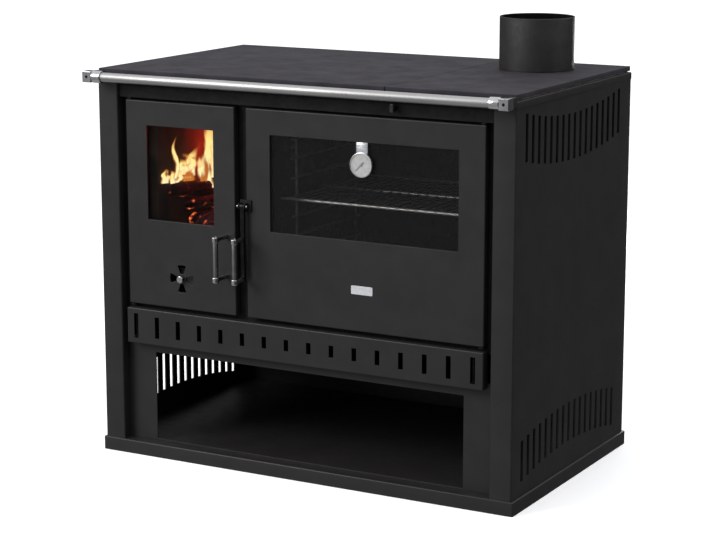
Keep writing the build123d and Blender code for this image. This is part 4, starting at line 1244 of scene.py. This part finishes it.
# %% [markdown]
# The lever is a narrow flat bar with a round nose on the pin. It is drawn from the side as one outline
# and given its width, with the long edges broken so that they catch a light line. The bracket is a plate
# with two ears.

# %% Lever, bracket and pin
PIVOT, LEVER_HALF_T = (-279.5, 580), 2.5
lever_x, _, z = spans("oven_lever")
foot = arc((PIVOT[0], z[0] + LEVER_HALF_T), LEVER_HALF_T, 180, 180, 8)
nose = arc(PIVOT, z[1] - PIVOT[1], -65, 310, 28)
pin_hole = circle(PIVOT, 3.05, 28)
lever = new_sheet(facing_side, polygon(foot + nose), flat_profile(*lever_x, 0.5), [pin_hole])
fit("oven_lever_bar", lever, black_oxide, "oven_lever")

EAR_T, EAR_R, FOOT_T, EAR_GAP = 3, 7, 3, 0.3
x, (front, back), z = spans("lever_bracket")
mesh = bmesh.new()
block(mesh, (x[0], back - FOOT_T, z[0]), (x[1], back, z[1]), 0.6)
root_y = back - FOOT_T + 0.5
ear = arc(PIVOT, EAR_R, 90, 180, 20) + [(root_y, PIVOT[1] - EAR_R), (root_y, PIVOT[1] + EAR_R)]
for start in (lever_x[0] - EAR_GAP - EAR_T, lever_x[1] + EAR_GAP):
    sheet(mesh, facing_side, polygon(ear), flat_profile(start, start + EAR_T))
fit("lever_bracket_ears", mesh, matt_paint, "lever_bracket")

x, _, z = spans("lever_pin")
mesh = new_turned((x[0], *PIVOT), "X", turned_bar((z[1] - z[0]) / 2, x[1] - x[0], 0.7), 28)
fit("lever_pivot_pin", mesh, chrome, "lever_pin")
print("lever pivots at", PIVOT)

# %% [markdown]
# ## Air control
# A disc with the same four wedges turns behind the door, on a short spindle with a chromed knob. At rest
# its wedges stand behind the door's, so the air is open.

# %% Air shutter and knob
DISC_R, DISC_T, SPINDLE_R = 34, 1.5, 3
_, (front, back), _ = spans("air_shutter")
disc_y = back - DISC_T
mesh = new_sheet(facing_front, circle(ROSETTE, DISC_R, 96), flat_profile(disc_y, back, 0.3), wedges)
lathe(mesh, (ROSETTE[0], front, ROSETTE[1]), "Y", turned_bar(SPINDLE_R, disc_y - front + 0.2, 0.3), 24)
fit("air_shutter_disc", mesh, black_oxide, "air_shutter")

x, y, _ = spans("air_knob")
radius, length = (x[1] - x[0]) / 2, y[1] - y[0]
face = [(0, 0.3), (radius * 0.5, 0.1)] + turned_edge(radius, 2.2)
waist = [(radius, length * 0.55), (radius - 1.2, length * 0.66), (radius - 1.6, length - 0.6)]
bore = [(radius - 2, length), (SPINDLE_R, length), (SPINDLE_R, length - 2), (0, length - 2)]
mesh = new_turned((ROSETTE[0], y[0], ROSETTE[1]), "Y", face + waist + bore, 48)
fit("air_knob_turned", mesh, chrome, "air_knob")

# %% [markdown]
# ## Oven thermometer
# A turned case with a rolled bezel hangs on a tab behind the door's skin. The dial lies a little back in
# it, with twenty-eight printed ticks round three quarters of a turn and a blank middle. The ticks are one
# small block that a tree sets along an arc, every third one longer.

# %% Thermometer case and dial
CASE_R, CASE_T, WELL_R, WELL_DEPTH, TAB_HALF_W, HUB_R = 26, 6, 23.5, 2.5, 13, 1.05
x, (case_y, tab_back), z = spans("thermometer_case")
middle = (sum(x) / 2, z[0] + CASE_R)
well = [(0, WELL_DEPTH), (WELL_R, WELL_DEPTH), (WELL_R, 1.2), (WELL_R + 0.6, 0.3)]
back = [(CASE_R, CASE_T - 0.4), (CASE_R - 0.4, CASE_T), (0, CASE_T)]
mesh = new_turned((middle[0], case_y, middle[1]), "Y", well + turned_edge(CASE_R, 1.6) + back, 96)
tab_low = (middle[0] - TAB_HALF_W, case_y + CASE_T - 0.2, middle[1])
block(mesh, tab_low, (middle[0] + TAB_HALF_W, tab_back, z[1]), 0.4)
fit("thermometer_bezel", mesh, brushed_aluminium, "thermometer_case")

x, (dial_y, _), _ = spans("thermometer_dial")
dial_r = (x[1] - x[0]) / 2
disc = [(HUB_R, 0), (dial_r - 0.2, 0), (dial_r, 0.2), (dial_r, 0.8), (HUB_R, 0.8)]
mesh = new_turned((middle[0], dial_y, middle[1]), "Y", disc, 96)
fit("thermometer_face", mesh, dial_face, "thermometer_dial")

# %% Tree: printed ticks on an arc
tree, given = new_tree(
    "tick_arc", Int="Ticks", Float="Radius, Sweep, Length, Width", Material="Finish"
)
row, index, _, share = numbered_row(tree, given["Ticks"])
angle = calc(tree, "MULTIPLY", calc(tree, "SUBTRACT", share, 0.5), given["Sweep"])
across = calc(tree, "MULTIPLY", calc(tree, "SINE", angle), given["Radius"])
up = calc(tree, "MULTIPLY", calc(tree, "COSINE", angle), given["Radius"])
spread = {"Geometry": row, "Position": xyz(tree, X=across, Z=up)}
spread = out(tree, "GeometryNodeSetPosition", spread)
major = calc(tree, "LESS_THAN", calc(tree, "MODULO", index, 3.0), 0.5)
long = calc(tree, "MULTIPLY_ADD", major, 0.8, 1.0)
tall = calc(tree, "MULTIPLY", long, given["Length"])
size = xyz(tree, X=given["Width"], Y=0.2 * MM, Z=tall)
mark = out(tree, "GeometryNodeMeshCube", {"Size": (1, 1, 1)})
ticks = copies(tree, spread, mark, Scale=size, Rotation=xyz(tree, Y=angle))
tick_arc = finished(tree, ticks, given)

# %% Ticks, needle and badge
TICK_SIZES = {"Radius": 20, "Length": 1.8, "Width": 0.5}
others = {"Ticks": 28, "Sweep": math.radians(270), "Finish": dial_print}
ticks = grow("ticks", tick_arc, TICK_SIZES, others)
ticks.transform(Matrix.Translation((middle[0] * MM, dial_y * MM, middle[1] * MM)))
fit("thermometer_ticks", ticks, None, body="oven_door", slot="dial")

HAND = ((-2.2, -8), (2.2, -8), (1.2, 0), (0.4, 19), (-0.4, 19), (-1.2, 0))
HAND_TURN = Matrix.Rotation(math.radians(135), 2)
_, (front, back), _ = spans("thermometer_needle")
hand = [tuple(Vector(middle) + HAND_TURN @ Vector(point)) for point in HAND]
mesh = new_sheet(facing_front, polygon(hand), flat_profile(front, front + 0.6, 0.15, 1))
lathe(mesh, (middle[0], front - 0.1, middle[1]), "Y", turned_bar(3, 0.8, 0.2), 28)
lathe(mesh, (middle[0], front + 0.5, middle[1]), "Y", turned_bar(1, back - front - 0.5, 0.1), 16)
fit("thermometer_hand", mesh, needle_paint, "thermometer_needle")

fit_flat("bare_badge", "badge_plate", anodised, (2.2, 5), (0.35, 3))
print("thermometer at", [round(v, 1) for v in middle])

# %% [markdown]
# ## Drawer and damper
# The drawer's front is the same folded sheet as the doors, with sixteen slots whose height grows towards
# the ends. The front face and the rim behind it are two nodes in the model, and one folded piece stands
# for both.

# %% Drawer front and damper pull
SLOTS, SLOT_W, SLOT_EDGE, SLOT_HEIGHTS = 16, 11, 23.25, (55, 24)
x, (front, _), z = spans("drawer_front")
rim_y = spans("drawer_rim")[1][1]
drawer = as_mesh(new_sheet(facing_front, rectangle(x, z, 2.5, 5), folded_profile(front, rim_y)), "drawer")
drawer.materials.append(satin_coat)
pitch = (x[1] - x[0] - 2 * SLOT_EDGE) / (SLOTS - 1)
drawer = cut_slots(drawer, SLOTS, SLOT_W, SLOT_HEIGHTS, pitch, (0, front + SHEET / 2, sum(z) / 2))
fit("drawer_front_folded", drawer, satin_coat, "drawer_front", "drawer_rim")
print("drawer slots", SLOTS, "pitch", round(pitch, 2))

x, (front, back), z = spans("damper_knob")
knob_profile = rounded(2.0, front, 1, 5) + [(0.8, front + 9), (1.6, back - 1), (1.6, back)]
knob = new_sheet(facing_front, rectangle(x, z, 4, 6), knob_profile)
fit("damper_pull_knob", knob, phenolic, "damper_knob")

# %% [markdown]
# ## Firebox lining and grate
# The bricks are pressed boards with broken edges. The grate is one casting with seven slots; its edges
# burn round.

# %% Bricks and grate
BRICK_T, BRICK_GAP, BRICK_EDGE, BRICK_BACK_X = 30, 1, 2.0, (-366.5, -214.5)
x, y, z = spans("firebricks")
half_y = sum(y) / 2
mesh = bmesh.new()
for start in (x[0], x[1] - BRICK_T):
    for near, far in ((y[0], half_y), (half_y + BRICK_GAP, y[1])):
        block(mesh, (start, near, z[0]), (start + BRICK_T, far, z[1]), BRICK_EDGE)
block(mesh, (BRICK_BACK_X[0], y[1] - BRICK_T, z[0]), (BRICK_BACK_X[1], y[1], z[1]), BRICK_EDGE)
fit("firebrick_boards", mesh, firebrick, "firebricks")

GRATE_SLOTS, GRATE_PITCH, GRATE_SLOT_W, GRATE_END = 7, 20, 10, 50
x, y, z = spans("fire_grate")
first_x = sum(x) / 2 - (GRATE_SLOTS - 1) / 2 * GRATE_PITCH
slot_y = (y[0] + GRATE_END, y[1] - GRATE_END)
starts = [first_x + i * GRATE_PITCH - GRATE_SLOT_W / 2 for i in range(GRATE_SLOTS)]
slots = [rectangle((start, start + GRATE_SLOT_W), slot_y, 4) for start in starts]
grate = new_sheet(facing_up, rectangle(x, y, 3), flat_profile(z[1], z[0], 1.5, 3), slots)
fit("fire_grate_casting", grate, burnt_iron, "fire_grate")

# %% [markdown]
# ## The burning fire
# A few split logs lie burning on a bed of embers. A log is a rough tube: rings of points whose radius is
# changed by smooth noise, so it has bark ridges, a flat split side and worn ends. The embers are lumps
# scattered by Geometry Nodes with a fixed seed. The flames are bent sheets with a UV map for the fading
# light.


# %% Logs
def log(mesh, start, end, radius, seed, sides=28, rings=26):
    """A rough burnt log between two points."""
    axis = Vector(end) - Vector(start)
    tilt = axis.to_track_quat("Z", "Y")
    shift = Vector((seed * 7.3, seed * 3.1, seed * 5.7))
    loops = []
    for i in range(rings + 1):
        along = i / rings
        taper = min(1.0, 0.45 + 6 * min(along, 1 - along))
        loop = []
        for k in range(sides):
            turn = 2 * math.pi * k / sides
            spot = Vector((math.cos(turn), math.sin(turn), along * axis.length / radius / 2))
            rough = 1 + 0.28 * noise.noise(spot * 0.9 + shift) + 0.12 * noise.noise(spot * 4 + shift)
            flat = min(1.0, 0.72 / max(0.2, math.cos(turn - seed)))
            reach = radius * taper * rough * flat
            local = Vector((reach * math.cos(turn), reach * math.sin(turn), along * axis.length))
            loop.append(mesh.verts.new(Vector(start) + tilt @ local))
        loops.append(loop)
    for one, other in zip(loops, loops[1:]):
        close_strip(mesh, one, other)
    mesh.faces.new(loops[0])
    mesh.faces.new(loops[-1])


# start, end, radius
LOGS = (
    ((-351, -222, 588), (-338, -50, 572), 15),
    ((-346, -176, 552), (-322, -20, 548), 15),
    ((-340, -150, 512), (-300, 100, 506), 22),
    ((-300, -190, 500), (-240, 60, 530), 26),
    ((-262, -205, 505), (-306, 120, 570), 24),
)
mesh = bmesh.new()
for seed, (start, end, radius) in enumerate(LOGS, 1):
    log(mesh, start, end, radius, seed)
fit("burning_logs", mesh, char, body="stove", slot="firebrick")

# %% Tree: a bed of embers
tree, given = new_tree("ember_bed", Float="Density, Size", Int="Seed", Material="Finish")
seed = {"Seed": given["Seed"]}
spread = {"Mesh": given["Geometry"], "Density": given["Density"], **seed}
points = out(tree, "GeometryNodeDistributePointsOnFaces", spread)
ball = out(tree, "GeometryNodeMeshIcoSphere", {"Radius": 1.0, "Subdivisions": 2})
spot = out(tree, "GeometryNodeInputPosition")
uneven = add(tree, "ShaderNodeTexNoise", {"Vector": spot, "Scale": 1.7, "Detail": 2.0})
dents = vector_calc(tree, "SUBTRACT", {0: uneven.outputs["Color"], 1: (0.5, 0.5, 0.5)})
lump = out(tree, "GeometryNodeSetPosition", {"Geometry": ball, "Offset": dents})
wide = {"Min": (0.5, 0.5, 0.4), "Max": (1.3, 1.3, 0.9), **seed}
varied = out(tree, "FunctionNodeRandomValue", wide, data_type="FLOAT_VECTOR")
size = vector_calc(tree, "SCALE", {0: varied, "Scale": given["Size"]})
around = {"Max": (6.28, 6.28, 6.28), **seed}
spin = out(tree, "FunctionNodeRandomValue", around, data_type="FLOAT_VECTOR")
lumps = copies(tree, points, lump, Scale=size, Rotation=spin)
ember_bed = finished(tree, lumps, given)

# %% Embers
BED_MIDDLE, BED_SIZE, BED_Z, BED_SWELL, BED_ROUGH, ROUGH_SIZE = (-290.5, -36), (136, 350), 470, 44, 10, 35
bed = bmesh.new()
bmesh.ops.create_grid(bed, x_segments=24, y_segments=40, size=0.5)
for vert in bed.verts:
    x, y = [middle + c * size for middle, c, size in zip(BED_MIDDLE, vert.co, BED_SIZE)]
    swell = BED_SWELL * math.cos(vert.co.x * 2.4) * math.cos(vert.co.y * 2.4)
    rough = BED_ROUGH * noise.noise(Vector((x, y, 0)) / ROUGH_SIZE)
    vert.co = (x, y, BED_Z + swell + rough)
others = {"Density": 5200.0, "Seed": 4, "Finish": char}
embers = grow("embers", ember_bed, {"Size": 10}, others, as_mesh(bed, "bed"))
smooth_all(embers)
fit("ember_bed", embers, None, body="stove", slot="firebrick")
print("embers", len(embers.polygons), "faces")


# %% Flames
def flame(mesh, root, height, width, lean, facing, seed, rows=16, columns=8):
    """A bent, tapering flame sheet that faces the angle given, with its UV map."""
    uv = mesh.loops.layers.uv.verify()
    across = Vector((math.cos(facing), math.sin(facing), 0))
    outward = Vector((-across.y, across.x, 0))
    grid = []
    for j in range(rows + 1):
        v = j / rows
        half = width / 2 * (0.55 + 1.3 * v * (1 - v)) * (1 - 0.75 * v**2)
        sway = width * 0.45 * noise.noise(Vector((seed * 3.7, v * 2.2, 0)))
        spine = Vector(root) + Vector((lean[0] * v, lean[1] * v, height * v))
        line = []
        for i in range(columns + 1):
            u = i / columns
            belly = 0.35 * half * math.sin(math.pi * u)
            place = spine + across * ((2 * u - 1) * half + sway) + outward * belly
            line.append((mesh.verts.new(place), (u, v)))
        grid.append(line)
    for low_line, high_line in zip(grid, grid[1:]):
        for i in range(columns):
            corners = (low_line[i], low_line[i + 1], high_line[i + 1], high_line[i])
            face = mesh.faces.new([vert for vert, _ in corners])
            face.smooth = True
            for loop, (_, where) in zip(face.loops, corners):
                loop[uv].uv = where


# root, height, width, lean, facing in degrees
YELLOW_FLAMES = (
    ((-335, -99, 576), 168, 60, (8, 4), 29),
    ((-330, -86, 597), 148, 64, (4, 2), 29),
    ((-350, -199, 610), 98, 17, (3, 2), 29),
    ((-351, -173, 614), 38, 48, (0, 0), 50),
    ((-350, -152, 612), 50, 60, (3, 2), 50),
    ((-349, -131, 606), 68, 46, (4, 2), 40),
    ((-357, -225, 602), 34, 40, (0, 2), 75),
    ((-355, -203, 598), 32, 50, (1, 4), 75),
    ((-352, -180, 598), 30, 50, (2, 4), 60),
)
ORANGE_FLAMES = (
    ((-335, -107, 574), 84, 24, (3, 2), 29),
    ((-352, -150, 596), 44, 70, (0, 6), 60),
    ((-300, 40, 540), 160, 70, (12, 0), 0),
    ((-270, -130, 540), 90, 46, (0, 8), 20),
)
FLAMES = (("yellow", YELLOW_FLAMES, yellow_flame), ("orange", ORANGE_FLAMES, orange_flame))
for name, flames, finish in FLAMES:
    mesh = bmesh.new()
    for seed, (*shape, facing) in enumerate(flames, 1):
        flame(mesh, *shape, math.radians(facing), seed)
    fit(f"{name}_flames", as_mesh(mesh, name, recalculate=False), finish, body="stove", slot="firebrick")

# %% [markdown]
# ## Oven inside
# The rack and its ladders are welded wire: the same round wire over and over. One tree repeats a wire
# along a line with a step, and the pieces differ only in their inputs.

# %% Tree: a row of wires
tree, given = new_tree(
    "wire_row", Int="Count", Vector="Start, Step, Rotation", Float="Length, Radius", Material="Finish"
)
line = {"Count": given["Count"], "Start Location": given["Start"], "Offset": given["Step"]}
points = out(tree, "GeometryNodeMeshLine", line)
bar = {"Vertices": 20, "Radius": given["Radius"], "Depth": given["Length"]}
bar = out(tree, "GeometryNodeMeshCylinder", bar)
bars = made_real(tree, copies(tree, points, bar, Rotation=given["Rotation"]), given)
joined = add(tree, "GeometryNodeJoinGeometry")
for part in (given["Geometry"], bars):
    tree.links.new(part, joined.inputs[0])
add(tree, "NodeGroupOutput", {0: joined.outputs[0]})
wire_row = tree

TURNS = {"X": (0, math.pi / 2, 0), "Y": (math.pi / 2, 0, 0), "Z": (0, 0, 0)}


def wires(mesh, axis, start, step, count, length, radius):
    """Adds a row of wires along an axis to a mesh; start is the middle of the first one."""
    sizes = {"Start": start, "Step": step, "Length": length, "Radius": radius}
    others = {"Count": count, "Rotation": TURNS[axis], "Finish": bright_wire}
    return grow("wires", wire_row, sizes, others, mesh)


# %% Rack and ladders
RACK_RODS, ROD_R, BAR_R, RACK_SIDE = 21, 1.75, 3, 14
WELD_L, WELD_R, WELD_LIFT = 6.8, 3.0, 0.8
x, y, z = spans("oven_rack")
front, back, middle_z = y[0] + BAR_R, y[1] - BAR_R, sum(z) / 2
first_x = x[0] + RACK_SIDE
step = (x[1] - x[0] - 2 * RACK_SIDE) / (RACK_RODS - 1)
rack = wires(None, "X", (sum(x) / 2, front, middle_z), (0, (back - front) / 2, 0), 3, x[1] - x[0], BAR_R)
middle = (first_x, (front + back) / 2, middle_z)
rack = wires(rack, "Y", middle, (step, 0, 0), RACK_RODS, back - front, ROD_R)
weld = (first_x, front, middle_z + WELD_LIFT)
rack = wires(rack, "Y", weld, (step, 0, 0), RACK_RODS, WELD_L, WELD_R)

LADDER_X, LADDER_Y, LADDER_Z, LADDER_R = (-81.5, 383.5), (-136.5, 123.5), (400, 720), 2.5
RUNGS, RUNG_PITCH, RUNG_FIRST, RUNG_OVER, OFF_WALL, STUB_IN = 8, 42, 415.5, 20, 14, 30
width, height = LADDER_Y[1] - LADDER_Y[0], LADDER_Z[1] - LADDER_Z[0]
next_post = (0, width, 0)
ladders = None
for side, x in zip((-1, 1), LADDER_X):
    ladders = wires(ladders, "Z", (x, LADDER_Y[0], sum(LADDER_Z) / 2), next_post, 2, height, LADDER_R)
    first_rung = (x, sum(LADDER_Y) / 2, RUNG_FIRST)
    ladders = wires(ladders, "Y", first_rung, (0, 0, RUNG_PITCH), RUNGS, width + 2 * RUNG_OVER, LADDER_R)
    for z in (LADDER_Z[0] + STUB_IN, LADDER_Z[1] - STUB_IN):
        stub = (x + side * OFF_WALL / 2, LADDER_Y[0], z)
        ladders = wires(ladders, "X", stub, next_post, 2, OFF_WALL, LADDER_R)
for name, mesh, node in (("rack_wires", rack, "oven_rack"), ("ladder_wires", ladders, "oven_ladders")):
    smooth_all(mesh)
    mesh.set_sharp_from_angle(angle=math.radians(50))
    fit(name, mesh, None, node)
    print(name, len(mesh.polygons), "faces")

# %% [markdown]
# ## Pieces that keep their CAD shape
# Inner plates, the tray, runners, clips and linings have the right shape already. They only get their
# finish, chosen by the slot that the model's record gives each of them. The tray, its runners and the
# damper slide get the dark blackened finish instead of their slot's finish: this is painted shade, so the
# drawer's slots and the flue look dark inside.

# %% Finishes of the remaining CAD nodes
FINISHES = {
    "body_paint": satin_coat,
    "inner_paint": matt_paint,
    "hob_iron": ground_iron,
    "grate_iron": burnt_iron,
    "plain_steel": rolled_steel,
    "chrome": chrome,
    "dark_chrome": black_nickel,
    "fire_glass": fire_glass,
    "oven_glass": smoked_glass,
    "firebrick": firebrick,
    "rope": glass_rope,
    "oven_enamel": oven_enamel,
    "bright_steel": bright_wire,
    "dial": dial_face,
    "needle": needle_paint,
    "knob": phenolic,
}
# Painted shade: these nodes take the dark blackened finish so that the drawer and the flue look dark
# inside.
PAINTED_SHADE_NODES = ("drawer_tray", "drawer_runners", "damper_slide")
for node, piece in frame["nodes"].items():
    piece.data.materials.clear()
    piece.data.materials.append(black_oxide if node in PAINTED_SHADE_NODES else FINISHES[SLOT_OF[node]])
print("finished", len(frame["nodes"]), "CAD nodes")

# %% [markdown]
# # Studio
# The floor is plain white paper that runs far back, so it fills the whole picture behind the stove. Far
# round it stands a white sweep, lit from behind, so that a lower view ends in white too. Only the camera
# sees the sweep. The paper throws no light back at the stove, because the dome's lower part already
# stands for it. It lies on a light table, so it glows a little and the stove's shadow stays faint.


# %% Floor and sweep
def backdrop(name, mesh, finish, unseen_by):
    """A piece of the studio, in metres, that some kinds of rays don't meet."""
    data = bpy.data.meshes.new(name)
    mesh.to_mesh(data)
    mesh.free()
    data.materials.append(finish)
    piece = new_object(name, data)
    for ray in unseen_by:
        setattr(piece, f"visible_{ray}", False)
    return piece


def white_finish(name, glow, colours, rough):
    """A dull white finish that shines by itself."""
    fixed = {"Emission Color": linear("#ffffff"), "Emission Strength": glow, "Specular IOR Level": 0.1}
    return new_finish(name, fixed, colours, (400,), rough, [(0.02, 6)])


FLOOR_SIZE, SWEEP_R, SWEEP_H = 60, 40, 80
mesh = bmesh.new()
bmesh.ops.create_grid(mesh, x_segments=1, y_segments=1, size=FLOOR_SIZE)
paper = white_finish("white_paper", 0.22, ("#f8f8f8", "#fbfbfb"), (0.8, 0.9, 200))
floor = backdrop("studio_floor", mesh, paper, ("diffuse", "glossy"))
mesh = bmesh.new()
bmesh.ops.create_cone(mesh, segments=96, radius1=SWEEP_R, radius2=SWEEP_R, depth=SWEEP_H)
cloth = white_finish("backlit_cloth", 1.0, ("#f4f4f4", "#fafafa"), (0.85, 0.95, 200))
sweep = backdrop("studio_sweep", mesh, cloth, ("diffuse", "glossy", "transmission", "shadow"))

# %% [markdown]
# The room itself is a soft dome: bright overhead, less bright straight below, and dark all round at eye
# height apart from a grey wall at the front left, like a studio with black curtains. Black paint and
# glass show the dark band, and chrome shows all. One large soft box stands at the front left. Two weak
# ones at the right and behind only fill in those sides, and a small red lamp in the firebox adds the glow
# of the embers.

# %% Room and lamps
ZENITH, CURTAIN, BELOW, WALL, TO_WALL = 1.3, 0.08, 0.55, 0.5, (-0.48, -0.88, 0)
world = scene.world or bpy.data.worlds.new("studio")
scene.world = world
world.use_nodes = True
room = world.node_tree
heading = add(room, "ShaderNodeTexCoord").outputs["Generated"]
upward = add(room, "ShaderNodeSeparateXYZ", {0: heading}).outputs["Z"]
facing = add(room, "ShaderNodeVectorMath", {0: heading, 1: TO_WALL}, operation="DOT_PRODUCT")
soft = {"interpolation_type": "SMOOTHSTEP"}
above = ramp(room, upward, 0.2, 0.55, CURTAIN, ZENITH, **soft)
below = ramp(room, upward, -0.8, -0.35, BELOW, CURTAIN, **soft)
wall = ramp(room, facing.outputs["Value"], 0.4, 1.0, CURTAIN, WALL, **soft)
dome = calc(room, "MAXIMUM", above, calc(room, "MAXIMUM", wall, below))
sky = room.nodes["Background"].inputs
sky["Color"].default_value = linear("#f6f7fa")
room.links.new(dome, sky["Strength"])


def lamp(kind, name, place, aim, energy, colour="#ffffff", **settings):
    """A lamp at a place in metres that looks at a point."""
    data = bpy.data.lights.new(name, kind)
    data.energy, data.color = energy, linear(colour)[:3]
    for key, value in settings.items():
        setattr(data, key, value)
    made = new_object(name, data)
    made.location = place
    made.rotation_euler = (Vector(aim) - Vector(place)).to_track_quat("-Z", "Y").to_euler()
    made.visible_camera = False


lamp("AREA", "front_left", (-2.6, -3.4, 2.6), (0, 0, 0.4), 138, size=2.2)
lamp("AREA", "right_fill", (3.2, 0.6, 2.2), (0.5, 0, 0.4), 24, size=2.2)
lamp("AREA", "back_fill", (0, 3.2, 0.45), (0, 0.3, 0.45), 26, size=0.9)
lamp("POINT", "fire_glow", (-0.30, -0.02, 0.65), (0, 0, 0), 1.6, "#ff2814", shadow_soft_size=0.04)

# %% Camera
LENS, SENSOR, FARTHEST, YAW, PITCH = 105.6, 36.0, 200, 28.96, 11.74
camera_data = bpy.data.cameras.new("camera")
camera_data.lens, camera_data.sensor_width, camera_data.clip_end = LENS, SENSOR, FARTHEST
camera = new_object("camera", camera_data)
camera.location = (2.177, -3.946, 1.343)
camera.rotation_euler = (math.radians(90 - PITCH), 0, math.radians(YAW))
scene.camera = camera
scene.view_settings.view_transform = "Standard"
